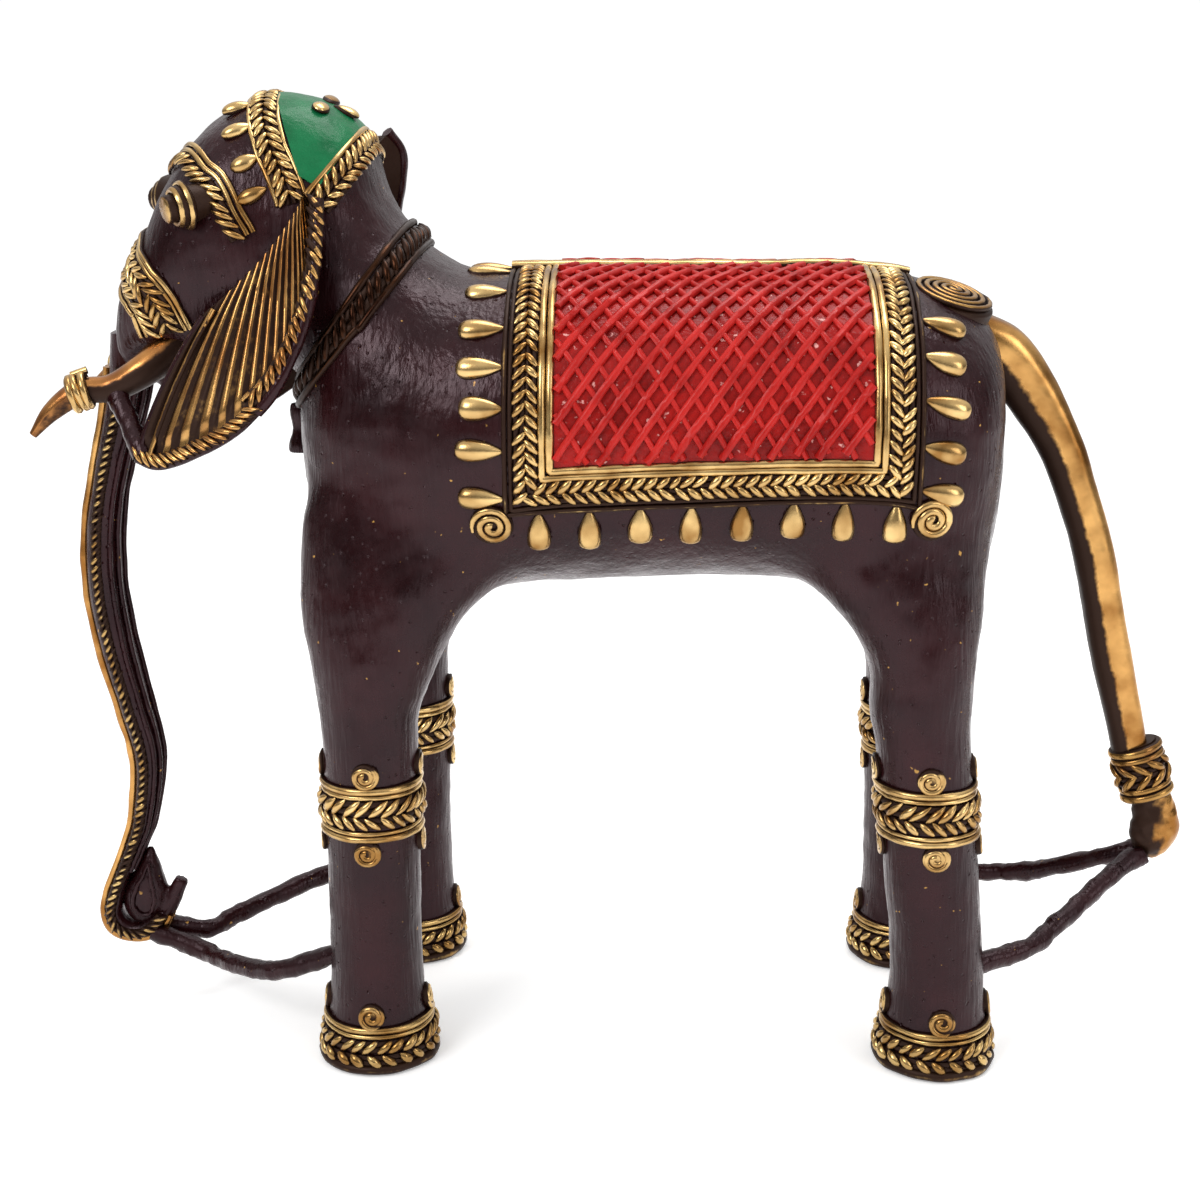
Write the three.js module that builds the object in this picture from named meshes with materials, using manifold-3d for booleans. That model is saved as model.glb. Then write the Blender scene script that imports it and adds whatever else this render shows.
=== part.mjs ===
// Elephant figurine: a lost wax brass casting with dark skin and polished relief ornament.
// Millimetres, +Z up. The head is towards -X and the near side towards -Y. The four feet stand at z = 0.

import * as THREE from 'three';
import { mergeVertices, mergeGeometries } from 'three/addons/utils/BufferGeometryUtils.js';
import Module from 'manifold-3d';

const wasm = await Module();
wasm.setup();

// Body
const bellyHeight = 101;        // floor to the underside of the barrel
const barrelDepth = 64.5;       // belly to spine
const barrelWidth = 74;
const rumpReach = 79.5;        // hindmost point of the rump, behind the middle of the back
const withersReach = 24;       // where the spine starts to rise into the neck, ahead of the middle
const neckRise = 9.5;          // top of the neck's seam above the spine
const neckWidth = 50;

// Head
const crownRise = 34.5;        // crown above the spine
const headDepth = 54;          // crown to jaw
const headWidth = 43;
const pollReach = withersReach + 23.5;  // back of the head, ahead of the middle of the back
const faceLength = 57.5;       // back of the head to the muzzle
const muzzleWidth = 18;

// Legs and feet
const frontLegReach = withersReach + 26.9;
const hindLegReach = rumpReach - 10.9;
const farLegSetback = 1;       // the far legs stand this much further back
const legSpread = 53;          // between the legs of a pair, centre to centre
const legRadius = 9.8;
const soleRadius = 11.6;
const hindLegLean = 5.8;         // the tops of the hind legs stand this much further forward
const frontArch = 11.5;          // spread of the fillet between leg and belly
const hindArch = 7.5;
const ankletHeight = 57.7;       // middle of the anklets above the floor
const ankletWidth = 11.4;
const footBandHeight = 0.6;    // lower edge of the foot bands above the floor

// Trunk, tusks, ears and eyes
const trunkWidth = 12;
const trunkTipHeight = 37;     // where the trunk joins its petal
const petalDepth = 14;         // front to back
const petalThickness = 7;
const tuskRadius = 2.8;
const tuskSpread = 29;         // between the tusks' roots
const earThickness = 1.8;
const eyeLength = 6.6;
const eyeRadius = 4.7;

// Tail
const tailReach = rumpReach + 34;       // end of the tail behind the middle
const tailWidth = 7.6;
const tailEndHeight = 61.5;
const tuftLength = 13;
const bossRadius = 8;
const bossTurn = 0.24;         // off the spine towards the near side, in radians

// Blanket
const blanketFront = withersReach - 2;  // front edge ahead of the middle
const blanketBack = rumpReach - 19.5;   // rear edge behind the middle
const blanketDrop = 69.5;       // spine to lower edge, measured over the flank
const borderWidth = 10;
const clothThickness = 0.8;
const spineWireWidth = 2.6;

// Ornament
const wireHeight = 1.2;
const ropeHeight = 1.9;
const dropLength = 9;
const dropWidth = 4.3;
const spiralRadius = 3.1;
const stayRadius = 2.2;
const clearance = 0.3;         // between pieces that lie on each other
const seat = 0.45;             // ornament over the smooth skin; the skin's facets lie a little below it
const leastGap = 0.15;         // kept under an ornament where it crosses a hollow in the skin

const NEAR = -1;
const FAR = 1;
const backHeight = bellyHeight + barrelDepth;
const crownHeight = backHeight + crownRise;
const jawHeight = crownHeight - headDepth;

const finishes = {
  skin: { color: 0x2c1f20, roughness: 0.32, metalness: 0.75 },
  brass: { color: 0xb98a3c, roughness: 0.34, metalness: 0.95 },
  red: { color: 0xb3222a, roughness: 0.62, metalness: 0.1 },
  green: { color: 0x2f8a57, roughness: 0.55, metalness: 0.1 },
};

const elephant = new THREE.Group();

function add(name, geometry, finish) {
  const mesh = new THREE.Mesh(geometry, new THREE.MeshStandardMaterial(finishes[finish]));
  mesh.name = name;
  elephant.add(mesh);
  return mesh;
}

function vec(x, y, z) {
  return new THREE.Vector3(x, y, z);
}

// Closed meshes as solids, for joining and cutting
function toSolid(geometry) {
  const bare = new THREE.BufferGeometry();
  bare.setAttribute('position', geometry.getAttribute('position'));
  if (geometry.index) bare.setIndex(geometry.index);
  const merged = mergeVertices(bare, 1e-4);
  return new wasm.Manifold(new wasm.Mesh({
    numProp: 3,
    vertProperties: Float32Array.from(merged.getAttribute('position').array),
    triVerts: Uint32Array.from(merged.index.array),
  }));
}

function toGeometry(solid) {
  const mesh = solid.getMesh();
  const geometry = new THREE.BufferGeometry();
  geometry.setAttribute('position', new THREE.BufferAttribute(mesh.vertProperties, 3));
  geometry.setIndex(new THREE.BufferAttribute(mesh.triVerts, 1));
  return geometry;
}

function join(geometries) {
  return toGeometry(geometries.map(toSolid).reduce((whole, piece) => whole.add(piece)));
}

// What the cutters leave; of several remnants the largest is kept
function cut(geometry, cutters) {
  const rest = cutters.map(toSolid).reduce((solid, cutter) => solid.subtract(cutter), toSolid(geometry));
  const larger = (most, piece) => (piece.volume() > most.volume() ? piece : most);
  return toGeometry(rest.decompose().reduce(larger));
}

// Closed surface over rings of equal point count, with a flat fan at each end
function loftRings(rings) {
  const count = rings[0].length;
  const points = rings.flat();
  const faces = [];
  for (let r = 0; r < rings.length - 1; r += 1) {
    for (let i = 0; i < count; i += 1) {
      const a = r * count + i;
      const b = r * count + (i + 1) % count;
      faces.push(a, a + count, b, b, a + count, b + count);
    }
  }
  for (const [ring, flip] of [[0, false], [rings.length - 1, true]]) {
    const centre = points.length;
    points.push(rings[ring].reduce((sum, p) => sum.add(p), vec(0, 0, 0)).divideScalar(count));
    for (let i = 0; i < count; i += 1) {
      const a = ring * count + i;
      const b = ring * count + (i + 1) % count;
      faces.push(centre, flip ? b : a, flip ? a : b);
    }
  }
  return outward(points, faces);
}

// Indexed geometry with its faces turned outward
function outward(points, faces) {
  let volume = 0;
  for (let f = 0; f < faces.length; f += 3) {
    const [a, b, c] = [points[faces[f]], points[faces[f + 1]], points[faces[f + 2]]];
    volume += a.dot(b.clone().cross(c));
  }
  if (volume < 0) {
    for (let f = 0; f < faces.length; f += 3) [faces[f + 1], faces[f + 2]] = [faces[f + 2], faces[f + 1]];
  }
  const geometry = new THREE.BufferGeometry().setFromPoints(points);
  geometry.setIndex(faces);
  return geometry;
}

// A skin is a tapering body over stations. Each station has a top and a bottom point in the middle plane and
// a half width. A place on it is a station number and an angle from the top, positive to the near side.
class Skin {
  constructor(stations, squareness = 2) {
    const line = (pick) => new THREE.CatmullRomCurve3(stations.map(pick), false, 'catmullrom', 0.5);
    this.last = stations.length - 1;
    this.power = 2 / squareness;
    this.tops = line((s) => vec(s.top[0], s.y ?? 0, s.top[1]));
    this.bottoms = line((s) => vec(s.bottom[0], s.y ?? 0, s.bottom[1]));
    this.halves = line((s) => vec(s.half, 0, 0));
    this.turn = 1;
    const side = Math.PI / 2;
    if (this.slopes(this.last / 2, side).out.y > 0) this.turn = -1;
  }

  bare(station, angle) {
    const t = THREE.MathUtils.clamp(station / this.last, 0, 1);
    const top = this.tops.getPoint(t);
    const bottom = this.bottoms.getPoint(t);
    const bend = (v) => Math.sign(v) * Math.abs(v) ** this.power;
    const point = top.clone().add(bottom).divideScalar(2);
    point.addScaledVector(top.sub(bottom), bend(Math.cos(angle)) / 2);
    point.y -= this.halves.getPoint(t).x * bend(Math.sin(angle));
    return point;
  }

  slopes(station, angle) {
    const step = 0.02;
    const low = Math.max(station - step, 0);
    const high = Math.min(station + step, this.last);
    const along = this.bare(high, angle).sub(this.bare(low, angle)).divideScalar(high - low);
    const before = this.bare(station, angle - step);
    const round = this.bare(station, angle + step).sub(before).divideScalar(2 * step);
    const out = round.clone().cross(along).setLength(this.turn);
    return { along, round, out };
  }

  point(station, angle, lift = 0) {
    const place = this.bare(station, angle);
    return lift === 0 ? place : place.addScaledVector(this.slopes(station, angle).out, lift);
  }

  // The place that lies a short step along the skin from another
  slide(station, angle, step) {
    const { along, round } = this.slopes(station, angle);
    const aa = along.dot(along);
    const ar = along.dot(round);
    const rr = round.dot(round);
    const det = aa * rr - ar * ar;
    const goal = this.bare(station, angle).add(step);
    let [s, a] = [station, angle];
    for (let pass = 0; pass < 3; pass += 1) {
      const miss = goal.clone().sub(this.bare(s, a));
      const ma = miss.dot(along);
      const mr = miss.dot(round);
      s += (ma * rr - mr * ar) / det;
      a += (mr * aa - ma * ar) / det;
    }
    return [s, a];
  }

  solid(rows, around, grow = 0) {
    const rings = [];
    for (let r = 0; r <= rows; r += 1) {
      const station = (r / rows) * this.last;
      const ring = [];
      for (let i = 0; i < around; i += 1) ring.push(this.point(station, (i / around) * 2 * Math.PI, grow));
      rings.push(ring);
    }
    if (grow > 0) {
      for (const [end, inner] of [[0, 1], [rows, rows - 1]]) {
        const away = ringCentre(rings[end]).sub(ringCentre(rings[inner])).setLength(grow);
        rings[end].forEach((p) => p.add(away));
      }
    }
    return loftRings(rings);
  }
}

function ringCentre(ring) {
  return ring.reduce((sum, p) => sum.add(p), vec(0, 0, 0)).divideScalar(ring.length);
}

// Torso
const half = barrelWidth / 2;
const neckHalf = neckWidth / 2;
const seamTop = [-withersReach - 20, backHeight + neckRise];
const seamBottom = [-withersReach - 41.6, bellyHeight + 43];

// Rump first. Offsets are from the rump's end, the withers, the spine and the belly.
const torsoSkin = new Skin([
  { top: [rumpReach, backHeight - 25], bottom: [rumpReach, bellyHeight + 20], half: half - 29 },
  { top: [rumpReach - 1.2, backHeight - 15], bottom: [rumpReach - 1, bellyHeight + 8], half: half - 17 },
  { top: [rumpReach - 4, backHeight - 9], bottom: [rumpReach - 3.5, bellyHeight + 2], half: half - 10 },
  { top: [rumpReach - 9, backHeight - 4.8], bottom: [rumpReach - 8.5, bellyHeight - 1], half: half - 5 },
  { top: [rumpReach - 18, backHeight - 1.6], bottom: [rumpReach - 17, bellyHeight - 1.5], half: half - 2 },
  { top: [rumpReach - 30, backHeight], bottom: [rumpReach - 30, bellyHeight - 0.5], half: half - 0.5 },
  { top: [20, backHeight], bottom: [20, bellyHeight + 1], half },
  { top: [14 - withersReach, backHeight], bottom: [12 - withersReach, bellyHeight - 0.5], half },
  { top: [-withersReach, backHeight - 0.5], bottom: [-withersReach - 10, bellyHeight - 2], half: half - 1 },
  { top: [-withersReach - 7, backHeight], bottom: [-withersReach - 24, bellyHeight - 1], half: half - 3 },
  {
    top: [-withersReach - 12, backHeight + 2.2],
    bottom: [-withersReach - 37.4, bellyHeight + 8],
    half: half - 5.5,
  },
  {
    top: [-withersReach - 16, backHeight + 5.2],
    bottom: [-withersReach - 42.4, bellyHeight + 25],
    half: neckHalf + 2.8,
  },
  { top: seamTop, bottom: seamBottom, half: neckHalf },
], 2.35);

const torsoRows = 16;
const torsoAround = 20;
add('torso', torsoSkin.solid(torsoRows, torsoAround), 'skin');
const torsoCutter = torsoSkin.solid(torsoRows, torsoAround, seat);
const torsoTrimmer = torsoSkin.solid(torsoRows, torsoAround, leastGap);

// Head with the neck, from the seam over the crown to the trunk's root.
// Each station gives how far its top lies ahead of the poll and below the crown, then the same for the jaw.
const seamAxis = [-0.79, 0.61];
const headHalf = headWidth / 2;
const muzzleHalf = muzzleWidth / 2;

function headStation(topAhead, topDrop, jawAhead, jawDrop, halfWidth) {
  return {
    top: [-pollReach - topAhead, crownHeight - topDrop],
    bottom: [-pollReach - jawAhead, jawHeight - jawDrop],
    half: halfWidth,
  };
}

const headSkin = new Skin([
  {
    top: [seamTop[0] + seamAxis[0] * clearance, seamTop[1] + seamAxis[1] * clearance],
    bottom: [seamBottom[0] + seamAxis[0] * clearance, seamBottom[1] + seamAxis[1] * clearance],
    half: neckHalf - clearance,
  },
  headStation(0.5, 17.5, 23.5, -0.5, headHalf + 2),
  headStation(2.5, 10.2, 28.5, -1.5, headHalf + 1),
  headStation(7.5, 3.6, 34.5, -1.2, headHalf + 0.5),
  headStation(16.5, 0.2, faceLength - 17, -0.5, headHalf),
  headStation(26.5, 0.3, faceLength - 13, 0, headHalf - 0.5),
  headStation(36, 5.6, faceLength - 10, -0.5, headHalf - 1.5),
  headStation(faceLength - 14.2, 14.6, faceLength - 8, -0.5, headHalf - 3.5),
  headStation(faceLength - 9.2, 24, faceLength - 6.5, 0, headHalf - 6),
  headStation(faceLength - 5.2, 31.5, faceLength - 5.2, 0.8, headHalf - 8.5),
  headStation(faceLength - 1.6, 39.5, faceLength - 4.4, 1.8, muzzleHalf + 2),
  headStation(faceLength, 47, faceLength - 3.6, 2.8, muzzleHalf),
], 2.2);

const headRows = 18;
const headAround = 18;
add('head', headSkin.solid(headRows, headAround), 'skin');
const headCutter = headSkin.solid(headRows, headAround, seat);
const headTrimmer = headSkin.solid(headRows, headAround, leastGap);

// Trunk, a flattened strap that hangs from the muzzle.
// Each station gives its share of the drop, how far it lies ahead of the root, its depth and its width.
const muzzleReach = pollReach + faceLength;
const trunkRoot = jawHeight + 3.5;

function trunkStation(share, ahead, depth, width) {
  const z = trunkRoot + (trunkTipHeight - trunkRoot) * share;
  const x = -muzzleReach + 2.9 - ahead;
  return { top: [x - depth / 2, z - 0.6], bottom: [x + depth / 2, z + 0.6], half: width / 2 };
}

const trunkSkin = new Skin([
  trunkStation(0, 0.3, 8.6, trunkWidth + 3),
  trunkStation(0.1, 2, 8.6, trunkWidth + 0.6),
  trunkStation(0.225, 5.6, 8.2, trunkWidth - 0.4),
  trunkStation(0.34, 8.2, 8.2, trunkWidth - 1),
  trunkStation(0.457, 8.8, 8.2, trunkWidth - 1.4),
  trunkStation(0.58, 7.3, 8, trunkWidth - 1.8),
  trunkStation(0.706, 4.4, 7.4, trunkWidth - 2.4),
  trunkStation(0.82, 2.4, 6.8, trunkWidth - 3.4),
  trunkStation(0.91, 3.3, 5, trunkWidth - 4.6),
  trunkStation(1, 6, 4, trunkWidth - 5.6),
], 2.6);
const chinCutters = [-clearance, clearance].map((x) => (
  headSkin.solid(headRows, headAround).translate(x, 0, -clearance)
));
add('trunk', cut(trunkSkin.solid(12, 10), [headCutter, ...chinCutters]), 'skin');
const trunkCutter = trunkSkin.solid(12, 10, clearance);
const trunkTrimmer = trunkSkin.solid(12, 10, leastGap);

// Tail, a strap that springs from the rump and hangs clear of the legs
function tailStation(outer, inner, width) {
  return { top: outer, bottom: inner, half: width / 2 };
}

const tailDown = (back, below) => [tailReach + back, tailEndHeight - below];
const tailSkin = new Skin([
  tailStation([rumpReach - 2.5, backHeight - 7.5], [rumpReach - 7.5, backHeight - 18.5], tailWidth + 4.4),
  tailStation([rumpReach + 4.5, backHeight - 12.5], [rumpReach - 2.5, backHeight - 22.5], tailWidth + 3.4),
  tailStation([rumpReach + 11.8, backHeight - 22], [rumpReach + 4.2, backHeight - 30.5], tailWidth + 1.4),
  tailStation([rumpReach + 18.2, backHeight - 34.5], [rumpReach + 10, backHeight - 39], tailWidth + 0.4),
  tailStation([rumpReach + 23, backHeight - 47.5], [rumpReach + 14.8, backHeight - 50], tailWidth),
  tailStation([rumpReach + 26.9, backHeight - 59], [rumpReach + 18.4, backHeight - 61], tailWidth),
  tailStation(tailDown(-4.6, -33.5), tailDown(-13, -32.5), tailWidth - 0.2),
  tailStation(tailDown(-1.5, -20.5), tailDown(-10, -19.5), tailWidth - 0.4),
  tailStation(tailDown(1, -10.5), tailDown(-7.2, -10), tailWidth - 0.6),
  tailStation(tailDown(3.6, 0), tailDown(-3.8, 1), tailWidth - 1),
], 2.8);
add('tail', cut(tailSkin.solid(12, 10), [torsoCutter]), 'brass');
const tailCutter = tailSkin.solid(12, 10, clearance);

// Legs. Each level gives its height, how far the leg reaches outward and under the arch of the belly from its
// centre line, its half width across, and how far its centre is drawn in. The lean grows over the shaft.
const legAround = 12;
const legRows = 14;

function legSkin(side, end) {
  const isFront = end === 'front';
  const reach = (isFront ? -frontLegReach : hindLegReach) + (side === FAR ? farLegSetback : 0);
  const away = isFront ? -1 : 1;
  const lean = isFront ? 0 : hindLegLean;
  const arch = isFront ? frontArch : hindArch;
  const swell = isFront ? 1.4 : 0;
  const leanFrom = 22;
  const leanTo = bellyHeight - 23;
  const level = (z, outer, inner, across, inset = 0) => {
    const x = reach - lean * THREE.MathUtils.clamp((z - leanFrom) / (leanTo - leanFrom), 0, 1);
    return {
      top: [x + away * outer, z],
      bottom: [x - away * inner, z],
      half: across,
      y: side * (legSpread / 2 - inset),
    };
  };
  const round = (z, radius) => level(z, radius, radius, radius);
  const r = legRadius;
  return new Skin([
    round(0, soleRadius),
    round(5, soleRadius - 0.1),
    round(10, soleRadius - 0.8),
    round(15.5, r + 0.3),
    round(leanFrom, r),
    round(ankletHeight - 15, r),
    round(ankletHeight, r),
    round(ankletHeight + 13, r),
    level(leanTo, r + 0.2 + swell, r + 0.8, r + 0.6, 0.4),
    level(bellyHeight - 14, r + 1 + swell, r + arch - 6.6, r + 1.8, 1),
    level(bellyHeight - 8, r + 1.8 + swell, r + arch - 3.5, r + 2.6, 2),
    level(bellyHeight - 2, r + 2.4 + swell, r + arch + 1, r + 3.2, 3.2),
    level(bellyHeight + 4, r + 2.4 + swell, r + arch + 7, r + 3.4, 4.8),
    level(bellyHeight + 12, r + 1 + swell, r + arch + 4, r + 2.2, 8),
    level(bellyHeight + 21, r - 2, r + arch, r - 0.5, 11),
  ]);
}

const legs = [];
const legCutters = [];
for (const side of [NEAR, FAR]) {
  for (const end of ['front', 'hind']) {
    const name = `${side === NEAR ? 'near' : 'far'}_${end}`;
    const skin = legSkin(side, end);
    legs.push({ name, skin });
    add(`${name}_leg`, cut(skin.solid(legRows, legAround), [torsoCutter]), 'skin');
    legCutters.push(skin.solid(legRows, legAround, clearance));
  }
}

// A plate over a grid. at(i, j, upper) gives its points, and cells that keep() refuses are left open.
function plate(rows, columns, at, keep = () => true) {
  const points = [];
  const faces = [];
  const index = new Map();
  const vertex = (i, j, upper) => {
    const key = `${i} ${j} ${upper}`;
    if (!index.has(key)) {
      index.set(key, points.length);
      points.push(at(i, j, upper));
    }
    return index.get(key);
  };
  const kept = (i, j) => i >= 0 && j >= 0 && i < rows - 1 && j < columns - 1 && keep(i, j);
  const wall = (i, j, k, l) => {
    faces.push(vertex(i, j, true), vertex(i, j, false), vertex(k, l, false));
    faces.push(vertex(i, j, true), vertex(k, l, false), vertex(k, l, true));
  };
  for (let i = 0; i < rows - 1; i += 1) {
    for (let j = 0; j < columns - 1; j += 1) {
      if (!kept(i, j)) continue;
      for (const upper of [true, false]) {
        const [a, b] = [vertex(i, j, upper), vertex(i + 1, j, upper)];
        const [c, d] = [vertex(i + 1, j + 1, upper), vertex(i, j + 1, upper)];
        if (upper) faces.push(a, b, c, a, c, d);
        else faces.push(a, c, b, a, d, c);
      }
      if (!kept(i, j - 1)) wall(i, j, i + 1, j);
      if (!kept(i, j + 1)) wall(i + 1, j + 1, i, j + 1);
      if (!kept(i - 1, j)) wall(i, j + 1, i, j);
      if (!kept(i + 1, j)) wall(i + 1, j, i + 1, j + 1);
    }
  }
  return outward(points, faces);
}

// Direction along the skin and square to a line on it
function squareTo(skin, station, angle, tangent) {
  return skin.slopes(station, angle).out.clone().cross(tangent).normalize();
}

// A section (offset along the skin, height over it) set on the skin at one place
function setSection(skin, station, angle, side, section) {
  return section.map(([offset, height]) => {
    const [s, a] = skin.slide(station, angle, side.clone().multiplyScalar(offset));
    return skin.point(s, a, seat + height);
  });
}

// A closed band once round a skin. Positive offsets lie towards the skin's last station.
function belt(skin, station, section, steps) {
  const rings = [];
  for (let k = 0; k < steps; k += 1) {
    const angle = (k / steps) * 2 * Math.PI;
    const { along, round } = skin.slopes(station, angle);
    const side = squareTo(skin, station, angle, round);
    if (side.dot(along) < 0) side.negate();
    rings.push(setSection(skin, station, angle, side, section));
  }
  const count = section.length;
  const faces = [];
  for (let k = 0; k < steps; k += 1) {
    const next = ((k + 1) % steps) * count;
    for (let i = 0; i < count; i += 1) {
      const j = (i + 1) % count;
      faces.push(k * count + i, next + i, k * count + j, k * count + j, next + i, next + j);
    }
  }
  return outward(rings.flat(), faces);
}

// A band with two ends, laid along a line of places on a skin
function strip(skin, line, section, steps) {
  const path = new THREE.CatmullRomCurve3(line.map(([s, a]) => vec(s, a, 0)), false, 'catmullrom', 0.5);
  const place = (t) => path.getPoint(THREE.MathUtils.clamp(t, 0, 1));
  const rings = [];
  for (let k = 0; k <= steps; k += 1) {
    const t = k / steps;
    const here = place(t);
    const ahead = place(t + 0.01);
    const behind = place(t - 0.01);
    const tangent = skin.bare(ahead.x, ahead.y).sub(skin.bare(behind.x, behind.y)).normalize();
    rings.push(setSection(skin, here.x, here.y, squareTo(skin, here.x, here.y, tangent), section));
  }
  return loftRings(rings);
}

// A raised button on the skin. The outline is drawn along and across the heading, the height over the base.
function stud(skin, station, angle, heading, outline, height, base = 0) {
  const { out } = skin.slopes(station, angle);
  const along = heading.clone().addScaledVector(out, -heading.dot(out)).normalize();
  const across = out.clone().cross(along);
  const ring = (scale, lift) => outline.map(([u, v]) => {
    const step = along.clone().multiplyScalar(u * scale).addScaledVector(across, v * scale);
    const [s, a] = skin.slide(station, angle, step);
    return skin.point(s, a, seat + base + lift);
  });
  return loftRings([ring(1, 0), ring(0.82, height)]);
}

// A drop that starts at the place and points back at it
function dropOutline(length, width) {
  return [
    [0, 0], [length * 0.5, width * 0.4], [length * 0.92, width * 0.36], [length * 0.92, -width * 0.36],
    [length * 0.5, -width * 0.4],
  ];
}

function roundOutline(radius, sides) {
  return Array.from({ length: sides }, (_, i) => {
    const angle = (i / sides) * 2 * Math.PI;
    return [radius * Math.cos(angle), radius * Math.sin(angle)];
  });
}

// Section of a band: a wire at each edge and ropes between them
const bandWire = 1.6;

function bandSection(width, ropes) {
  const edge = width / 2;
  const valley = wireHeight * 0.9;
  const section = [[-edge, 0], [-edge, wireHeight], [-edge + bandWire, valley]];
  const ropeWidth = (width - 2 * bandWire) / ropes;
  for (let rope = 0; rope < ropes; rope += 1) {
    const start = -edge + bandWire + rope * ropeWidth;
    section.push([start + ropeWidth / 2, ropeHeight], [start + ropeWidth, valley]);
  }
  section.push([edge, wireHeight], [edge, 0]);
  return section;
}

// A round bar along a curve, with its own radius at each of the points
function bar(points, radii, steps, sides) {
  const path = new THREE.CatmullRomCurve3(points, false, 'catmullrom', 0.5);
  const sizes = new THREE.CatmullRomCurve3(radii.map((r) => vec(r, 0, 0)), false, 'catmullrom', 0.5);
  const rings = [];
  for (let k = 0; k <= steps; k += 1) {
    const t = k / steps;
    const tangent = path.getTangent(t);
    const side = tangent.clone().cross(vec(0, 0, 1)).normalize();
    const up = side.clone().cross(tangent);
    const size = sizes.getPoint(t).x;
    rings.push(roundOutline(size, sides).map(([u, v]) => (
      path.getPoint(t).addScaledVector(side, u).addScaledVector(up, v)
    )));
  }
  return loftRings(rings);
}

// The station at which the skin's line at an angle reaches a value along one axis, found by halving
function stationAt(skin, angle, axis, value) {
  const rising = skin.bare(skin.last, angle)[axis] > skin.bare(0, angle)[axis];
  let low = 0;
  let high = skin.last;
  for (let i = 0; i < 40; i += 1) {
    const middle = (low + high) / 2;
    if (skin.bare(middle, angle)[axis] < value === rising) low = middle;
    else high = middle;
  }
  return low;
}

function bothSides(nearHalf, middle) {
  return [...nearHalf, middle, ...nearHalf.map(([s, a]) => [s, -a]).reverse()];
}

// Foot bands: two ropes and two wires round the flare of the foot, and four spirals over them
const upward = vec(0, 0, 1);
const sideways = Math.PI / 2;
const footBandWidth = 10;
const footSection = [
  [-footBandWidth / 2, 0], [-footBandWidth / 2, ropeHeight], [-footBandWidth / 4, ropeHeight],
  [0, wireHeight],
  [footBandWidth / 4, ropeHeight], [footBandWidth / 2, wireHeight], [footBandWidth / 2, 0],
];
const spiral = roundOutline(spiralRadius, 6);
const spiralHeight = 1.5;
const spiralBite = 0.6;        // how far a spiral or a drop runs into the band that carries it

for (const { name, skin } of legs) {
  const footStation = stationAt(skin, sideways, 'z', footBandHeight + footBandWidth / 2);
  const spiralLevel = footBandHeight + footBandWidth + spiralRadius - spiralBite;
  const spiralStation = stationAt(skin, sideways, 'z', spiralLevel);
  const pieces = [belt(skin, footStation, footSection, legAround)];
  for (let quarter = 0; quarter < 4; quarter += 1) {
    pieces.push(stud(skin, spiralStation, quarter * sideways, upward, spiral, spiralHeight));
  }
  add(`${name}_foot_band`, join(pieces), 'brass');
}

// Anklets: two ropes between wires, with four spirals above and four below
const ankletSpiralOffset = ankletWidth / 2 + spiralRadius - spiralBite;

for (const { name, skin } of legs) {
  const ankletStation = stationAt(skin, sideways, 'z', ankletHeight);
  const pieces = [belt(skin, ankletStation, bandSection(ankletWidth, 2), legAround)];
  for (const offset of [-ankletSpiralOffset, ankletSpiralOffset]) {
    const station = stationAt(skin, sideways, 'z', ankletHeight + offset);
    for (let quarter = 0; quarter < 4; quarter += 1) {
      pieces.push(stud(skin, station, quarter * sideways, upward, spiral, spiralHeight));
    }
  }
  add(`${name}_anklet`, join(pieces), 'brass');
}

// Collar on the neck just behind the seam, and the pendant that hangs from it on the chest
const collarWidth = 6;
const collarSetback = 0.6;
const collarSection = bandSection(collarWidth, 1).map(([offset, height]) => (
  [offset - collarSetback - collarWidth / 2, height]
));
add('collar', cut(belt(torsoSkin, torsoSkin.last, collarSection, torsoAround), [torsoTrimmer]), 'skin');

const pendantRadius = 2.7;
const pendantLength = 10.5;
const pendantTop = seamBottom[1] - collarSetback - collarWidth - clearance;
const pendantProfile = [[0, 1], [0.7, 0.93], [1, 0.7], [0.7, 0.35], [0.65, 0.08], [0, 0]];
const pendant = new THREE.LatheGeometry(pendantProfile.map(([radius, share]) => (
  new THREE.Vector2(radius * pendantRadius, -share * pendantLength)
)), 10);
pendant.rotateX(Math.PI / 2);
pendant.translate(seamBottom[0] - 2.4, 0, pendantTop);
add('chest_pendant', cut(pendant, [torsoCutter]), 'skin');

// Ears: a ribbed fan spread from its root on the side of the head to a thick rim.
// The rim runs from behind the root round the lower edge to the forward tip, given back, down and outward.
const earRoot = vec(-pollReach - 13.8, headHalf + 0.9, crownHeight - 18);
const earLower = [
  vec(-3.4, 11.1, -35.1), vec(-9.4, 11.1, -43), vec(-17.7, 9.6, -49), vec(-29.1, 4.6, -53.6),
  vec(-35.4, 2.1, -52.6),
];
const nearUpper = [vec(3, 0.6, -1.4), vec(3, 3.6, -8.9), vec(2.4, 7.6, -18.1), vec(0.7, 9.6, -25.6)];
const farUpper = [
  vec(9.5, 4.6, 10.6), vec(13, 7, 6.5), vec(14, 7.8, 1), vec(12.6, 8.4, -6), vec(8.6, 9.4, -16),
  vec(3, 10.6, -26),
];
const earRims = new Map([[NEAR, nearUpper], [FAR, farUpper]].map(([side, upper]) => (
  [side, new THREE.CatmullRomCurve3([...upper, ...earLower], false, 'catmullrom', 0.5)]
)));
const earBow = vec(-3.2, 0, 0);  // the front edge bows forward
const earShares = [0.1, 0.38, 0.66, 0.9, 1];
const earColumns = 17;
const ribHeight = 0.5;
const rimThickness = 3;

function earMiddle(side, share, t) {
  const bow = 4 * share * (1 - share) * t ** 4;
  return earRims.get(side).getPoint(t).multiplyScalar(share).addScaledVector(earBow, bow).add(earRoot);
}

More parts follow.
